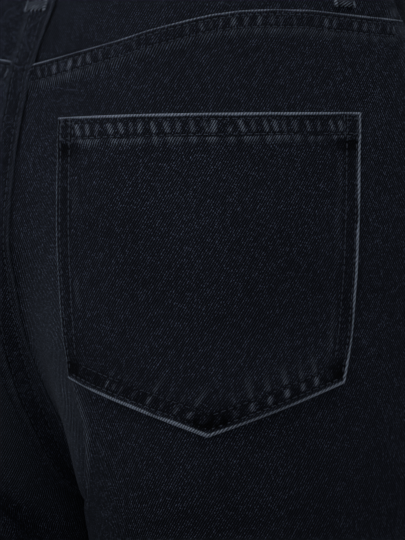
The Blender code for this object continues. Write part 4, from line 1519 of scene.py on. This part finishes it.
# ---------------------------------------------------------------- fly, zip and button
FLY_SEWN = (29.0, 35.5)      # rows of the curved stitches, from the centre front
FLY_TURN = 120.0             # depth in millimetres where they begin to curve in
FLY_TOP = 20.5
FLY_TACKS = ((4.0, ZIP_END / MM + 2), (22.0, ZIP_END / MM - 20))
SHIELD_WIDE = (-18.0, 24.0)  # to the right and left of the centre front
TAPE_WIDE = 13.0
TOOTH = (2.6, 1.15, 1.3)     # width, height and thickness of a zip tooth
TOOTH_PITCH = 1.55
TOOTH_POINT = 0.8            # share of its height at the end where it holds the next
# The slider and its pull: depth, half width and half thickness in millimetres.
SLIDER_SHAPE = (
    (24.0, 0.2, 0.05), (24.5, 2.4, 0.35), (25.6, 3.6, 0.5), (30.5, 3.9, 0.5), (33.2, 3.0, 0.5),
    (34.6, 1.5, 0.4), (36.2, 1.3, 0.34), (37.8, 2.6, 0.3), (40.0, 3.0, 0.3), (49.0, 3.0, 0.3),
    (51.2, 2.2, 0.3), (52.0, 0.2, 0.05),
)
SLIDER_SIDES = 20
# The button's head and shank: radius and height over the panels in millimetres.
BUTTON_SHAPE = (
    (0, 4.7), (1.6, 4.72), (3.2, 4.55), (4.4, 4.5), (4.9, 4.75), (5.4, 4.78), (5.9, 4.5),
    (6.6, 4.25), (7.5, 3.75), (8.2, 3.1), (8.5, 2.4), (8.2, 1.8), (7.4, 1.5), (6.0, 1.4),
    (1.9, 1.4), (1.9, -0.8), (0, -0.8),
)
BUTTON_SIDES = 48
BUTTON_AIM = 10 * MM         # how far out the button's axis is aimed


def front_point(arc, depth, out):
    """Points by the centre front: arc to the wearer's left, depth and lift in millimetres."""
    width = cloth_length(depth * MM, True) / MM
    return surface(2 - arc / width, depth * MM, out * MM)


def over_fly(arc, depth, out):
    """The same over the fly's layers."""
    return front_point(arc, depth, out + SEAMS["fly"].rise)


def front_sheet(name, arc, end, out, material, stands_for, thickness):
    """A layer behind the centre front, from the zip's top to a depth."""
    arc, depth = np.meshgrid(arc, np.linspace(ZIP_TOP / MM, end / MM, 60))
    cloth = np.stack([arc, -depth], axis=-1) * MM
    grid_piece(name, front_point(arc, depth, out), cloth, front_point(arc, depth, out + 2),
               material, thickness=thickness, stands_for=stands_for)


def make_fly():
    """The fly's folded edge, its curved stitches, and the shield and zip behind it."""
    for name, top, end, kind, seed, step in (
        ("fly_edge", WAIST_SEAM, ZIP_END, "fly", 61, LONG_STRIP_STEP),
        ("front_seam", ZIP_END, FORK, "front", 62, STRIP_STEP),
    ):
        find = upright_line(True, True, top)
        strip(name, 1, find, end - top, kind, seed, "front_left", step)
    turn = np.linspace(0, math.pi / 2, 30)
    for row in FLY_SEWN:
        drop = ZIP_END / MM - FLY_TURN + row - FLY_SEWN[0]
        arc = np.concatenate([[row], row * np.cos(turn)])
        depth = np.concatenate([[FLY_TOP], FLY_TURN + drop * np.sin(turn)])
        run = run_along(arc, depth)
        marks = stitch_marks(run[-1])
        sew("front_left", over_fly, np.interp(marks, run, arc), np.interp(marks, run, depth))
    for arc, depth in FLY_TACKS:
        def point(along, across, out, arc=arc, depth=depth):
            return over_fly(arc + across, depth + along, out)
        tack("front_left", point, -5, 5, 0.0)
    front_sheet("fly_shield_cloth", np.linspace(*SHIELD_WIDE, 24), SHIELD_END,
                SHIELD_OUT / MM, DENIM, ("fly_shield",), CLOTH)
    front_sheet("zip_tape", np.linspace(-TAPE_WIDE, TAPE_WIDE, 20), ZIP_END,
                ZIP_OUT / MM - 0.5, TAPE, ("zip",), 0.7 * MM)


def make_teeth():
    """The closed chain of the zip: metal teeth in turn from the left and the right."""
    wide, tall, thick = TOOTH
    depths = np.arange(ZIP_TOP / MM + 2, ZIP_END / MM - 2, TOOTH_PITCH)
    corners = np.array([(x, y, z) for z in (-0.5, 0.5) for y in (-0.5, 0.5) for x in (-0.5, 0.5)])
    corners[:, 1] *= np.where(corners[:, 0] * corners[:, 2] > 0, TOOTH_POINT, 1.0)
    side = np.where(np.arange(len(depths)) % 2, 1, -1)[:, None]
    arc = side * (0.7 + wide * corners[:, 0])
    depth = depths[:, None] + tall * corners[:, 1]
    out = ZIP_OUT / MM - 0.45 + thick * corners[:, 2] * np.ones(side.shape)
    box = np.array([(0, 1, 3, 2), (4, 6, 7, 5), (0, 4, 5, 1), (2, 3, 7, 6), (0, 2, 6, 4),
                    (1, 5, 7, 3)])
    faces = (np.arange(len(depths))[:, None, None] * len(corners) + box).reshape(-1, 4)
    teeth = piece("zip_teeth", front_point(arc, depth, out), faces, BRASS)
    teeth.data.validate()


def ring_piece(name, rings, stands_for):
    """A closed metal piece through rings of points, each ring a row."""
    faces = np.roll(tube_faces(*rings.shape[:2])[:, ::-1], 1, axis=1)
    piece(name, rings, faces, BRASS, stands_for)


def make_slider():
    """The slider with its pull, in front of the teeth."""
    depth, wide, thick = (np.array(part)[:, None] for part in zip(*SLIDER_SHAPE))
    angle = np.linspace(0, 2 * math.pi, SLIDER_SIDES, endpoint=False)[None, :]
    arc, out = wide * blunt(np.cos(angle), 0.6), thick * blunt(np.sin(angle), 0.6)
    middle = (SLIDER_OUT - SLIDER_THICK / 2) / MM
    rings = front_point(arc, np.broadcast_to(depth, arc.shape), out + middle)
    ring_piece("zip_slider_metal", rings, ("zip_slider",))


def make_button():
    """The button: a plain domed head with a raised ring, on its shank."""
    centre = surface(2.0, 0.0)
    axis = surface(2.0, 0.0, BUTTON_AIM) - centre
    axis /= np.linalg.norm(axis)
    across = np.cross(axis, (0, 0, 1))
    across /= np.linalg.norm(across)
    up = np.cross(across, axis)
    radius, lift = (np.array(part)[:, None, None] * MM for part in zip(*BUTTON_SHAPE))
    angle = np.linspace(0, 2 * math.pi, BUTTON_SIDES, endpoint=False)[None, :, None]
    rings = centre + axis * lift + radius * (across * np.cos(angle) + up * np.sin(angle))
    ring_piece("button_metal", rings, ("button",))


# ---------------------------------------------------------------- the cut
# One row for each piece of cloth: width and length of its flat cut in millimetres, its area in
# square centimetres, how it is held, what it lies on, and the pieces that go with it.
Sheet = namedtuple("Sheet", "name width length area held on pieces")
SHEETS = (
    Sheet("back_cloth_{}", 336, 979, 2460, "hung", "yoke_cloth_{}",
          ("yoke_seam_{}", "side_seam_back_{}", "inseam_{}", "hem_{}", "stitches_back_{}")),
    Sheet("front_cloth_{}", 320, 1011, 2314, "hung", "waistband_cloth",
          ("side_seam_front_{}", "scoop_{}", "stitches_front_{}")),
    Sheet("yoke_cloth_{}", 206, 55, 58, "hung", "waistband_cloth", ()),
    Sheet("pocket_cloth_{}", 156, 156, 212, "laid", "back_cloth_{}", ("stitches_pocket_{}",)),
    Sheet("pocket_facing_cloth_{}", 117, 111, 117, "laid", "front_cloth_{}", ()),
    Sheet("waistband_cloth", 795, 82, 650, "folded", "yoke_cloth_left", ("stitches_waistband",)),
    Sheet("fly_shield_cloth", 42, 155, 65, "laid", "front_cloth_right", ()),
    Sheet("zip_tape", 26, 145, 37, "laid", "fly_shield_cloth", ("zip_teeth",)),
)
LEFT_ONLY = {"back_cloth_left": ("seat_seam",), "front_cloth_left": ("fly_edge", "front_seam")}


def declare_sheets():
    """Gather the names of each piece of cloth and the pieces that go with it; nothing is done with
    them.
    """
    things = bpy.data.objects
    for row in SHEETS:
        names = [row.name.format(word) for word in ("left", "right")]
        for word, name in zip(("left", "right"), names[: 2 if "{}" in row.name else 1]):
            pieces = [piece_name.format(word) for piece_name in row.pieces]
            pieces += LEFT_ONLY.get(name, ())
    for loop_name, _, tail in LOOPS:
        pieces = [things["stitches_loops"]] if loop_name == "loop_centre" else []


# ---------------------------------------------------------------- camera, light and stage
CAMERA_TURN = math.radians(210)
CAMERA_AWAY = 1.5
CAMERA_ASIDE = 30.8 * MM
CAMERA_DEPTH = 161 * MM
CAMERA_LENS = 215
TARGET = (-0.5, 152 * MM)    # place and depth of the pocket's middle


def make_camera():
    """The camera, level, at the photograph's angle."""
    away = np.array([math.sin(CAMERA_TURN), -math.cos(CAMERA_TURN), 0.0])
    right = np.array([math.cos(CAMERA_TURN), math.sin(CAMERA_TURN), 0.0])
    reach = float(surface(*TARGET) @ away) + CAMERA_AWAY
    camera = bpy.data.objects.new("camera", bpy.data.cameras.new("camera"))
    camera.location = right * CAMERA_ASIDE + away * reach - np.array([0, 0, CAMERA_DEPTH])
    camera.rotation_euler = (math.pi / 2, 0, CAMERA_TURN)
    camera.data.lens = CAMERA_LENS
    camera.data.clip_start = 0.05
    bpy.context.scene.collection.objects.link(camera)
    bpy.context.scene.camera = camera


# name, turn from the camera's azimuth in degrees, height over the pocket, distance, size, watts
LIGHTS = (
    ("key", -30, 2.3, 1.0, 0.7, 41),
    ("fill", 50, 0.6, 2.4, 1.6, 10),
    ("low", 6, -0.1, 3.0, 1.2, 13),
    ("side", -70, 0.15, 1.8, 0.8, 12),
    ("front", 180, 1.2, 2.6, 1.8, 30),
)
SKY = (0.8, 0.82, 0.86, 1)
SKY_STRENGTH = 0.26
FLOOR_SIZE = 3.0             # from its middle to its edge
FLOOR_BELOW = 6 * MM         # the hems
FLOOR_GREYS = ((0.50, 0.50, 0.50, 1.0), (0.54, 0.54, 0.54, 1.0))


def make_lights():
    """Soft panels of light round the jeans, and a pale sky."""
    middle = Vector(surface(*TARGET))
    for name, turn, height, distance, size, power in LIGHTS:
        angle = CAMERA_TURN + math.radians(turn)
        light = bpy.data.lights.new(name, "AREA")
        light.shape = "DISK"
        light.size = size
        light.energy = power
        lamp = bpy.data.objects.new(name, light)
        lamp.location = (distance * math.sin(angle), -distance * math.cos(angle),
                         middle.z + height)
        lamp.rotation_euler = (lamp.location - middle).to_track_quat("Z", "Y").to_euler()
        bpy.context.scene.collection.objects.link(lamp)
    world = bpy.data.worlds.new("studio")
    world.use_nodes = True
    sky = world.node_tree.nodes["Background"].inputs
    sky["Color"].default_value = SKY
    sky["Strength"].default_value = SKY_STRENGTH
    bpy.context.scene.world = world
    bpy.context.scene.view_settings.view_transform = "Standard"


def make_floor():
    """A plain pale floor under the hems."""
    n = Nodes("floor")
    place = n.add("ShaderNodeTexCoord", {}, "Object")
    colour = n.mix(n.noise(place, 3.0), *FLOOR_GREYS)
    material = n.finish(colour, n.noise(place, 40.0), 0.2, 0.8, 0.2)
    mesh = bpy.data.meshes.new("floor")
    corners = [(x * FLOOR_SIZE, y * FLOOR_SIZE, -HEM - FLOOR_BELOW)
               for x, y in ((-1, -1), (1, -1), (1, 1), (-1, 1))]
    mesh.from_pydata(corners, [], [range(4)])
    mesh.materials.append(material)
    floor = bpy.data.objects.new("floor", mesh)
    bpy.context.scene.collection.objects.link(floor)


for word, side in (("left", 1), ("right", -1)):
    make_leg(word, side)
    make_seams(word, side)
    make_pocket(word, side)
    make_hem(word, side)
    make_facing(word, side)
make_waistband()
for loop_name, loop_place, loop_tail in LOOPS:
    make_loop(loop_name, loop_place, loop_tail)
make_seat_seam()
make_fly()
make_teeth()
make_slider()
make_button()
make_stitches()
declare_sheets()
make_camera()
make_lights()
make_floor()
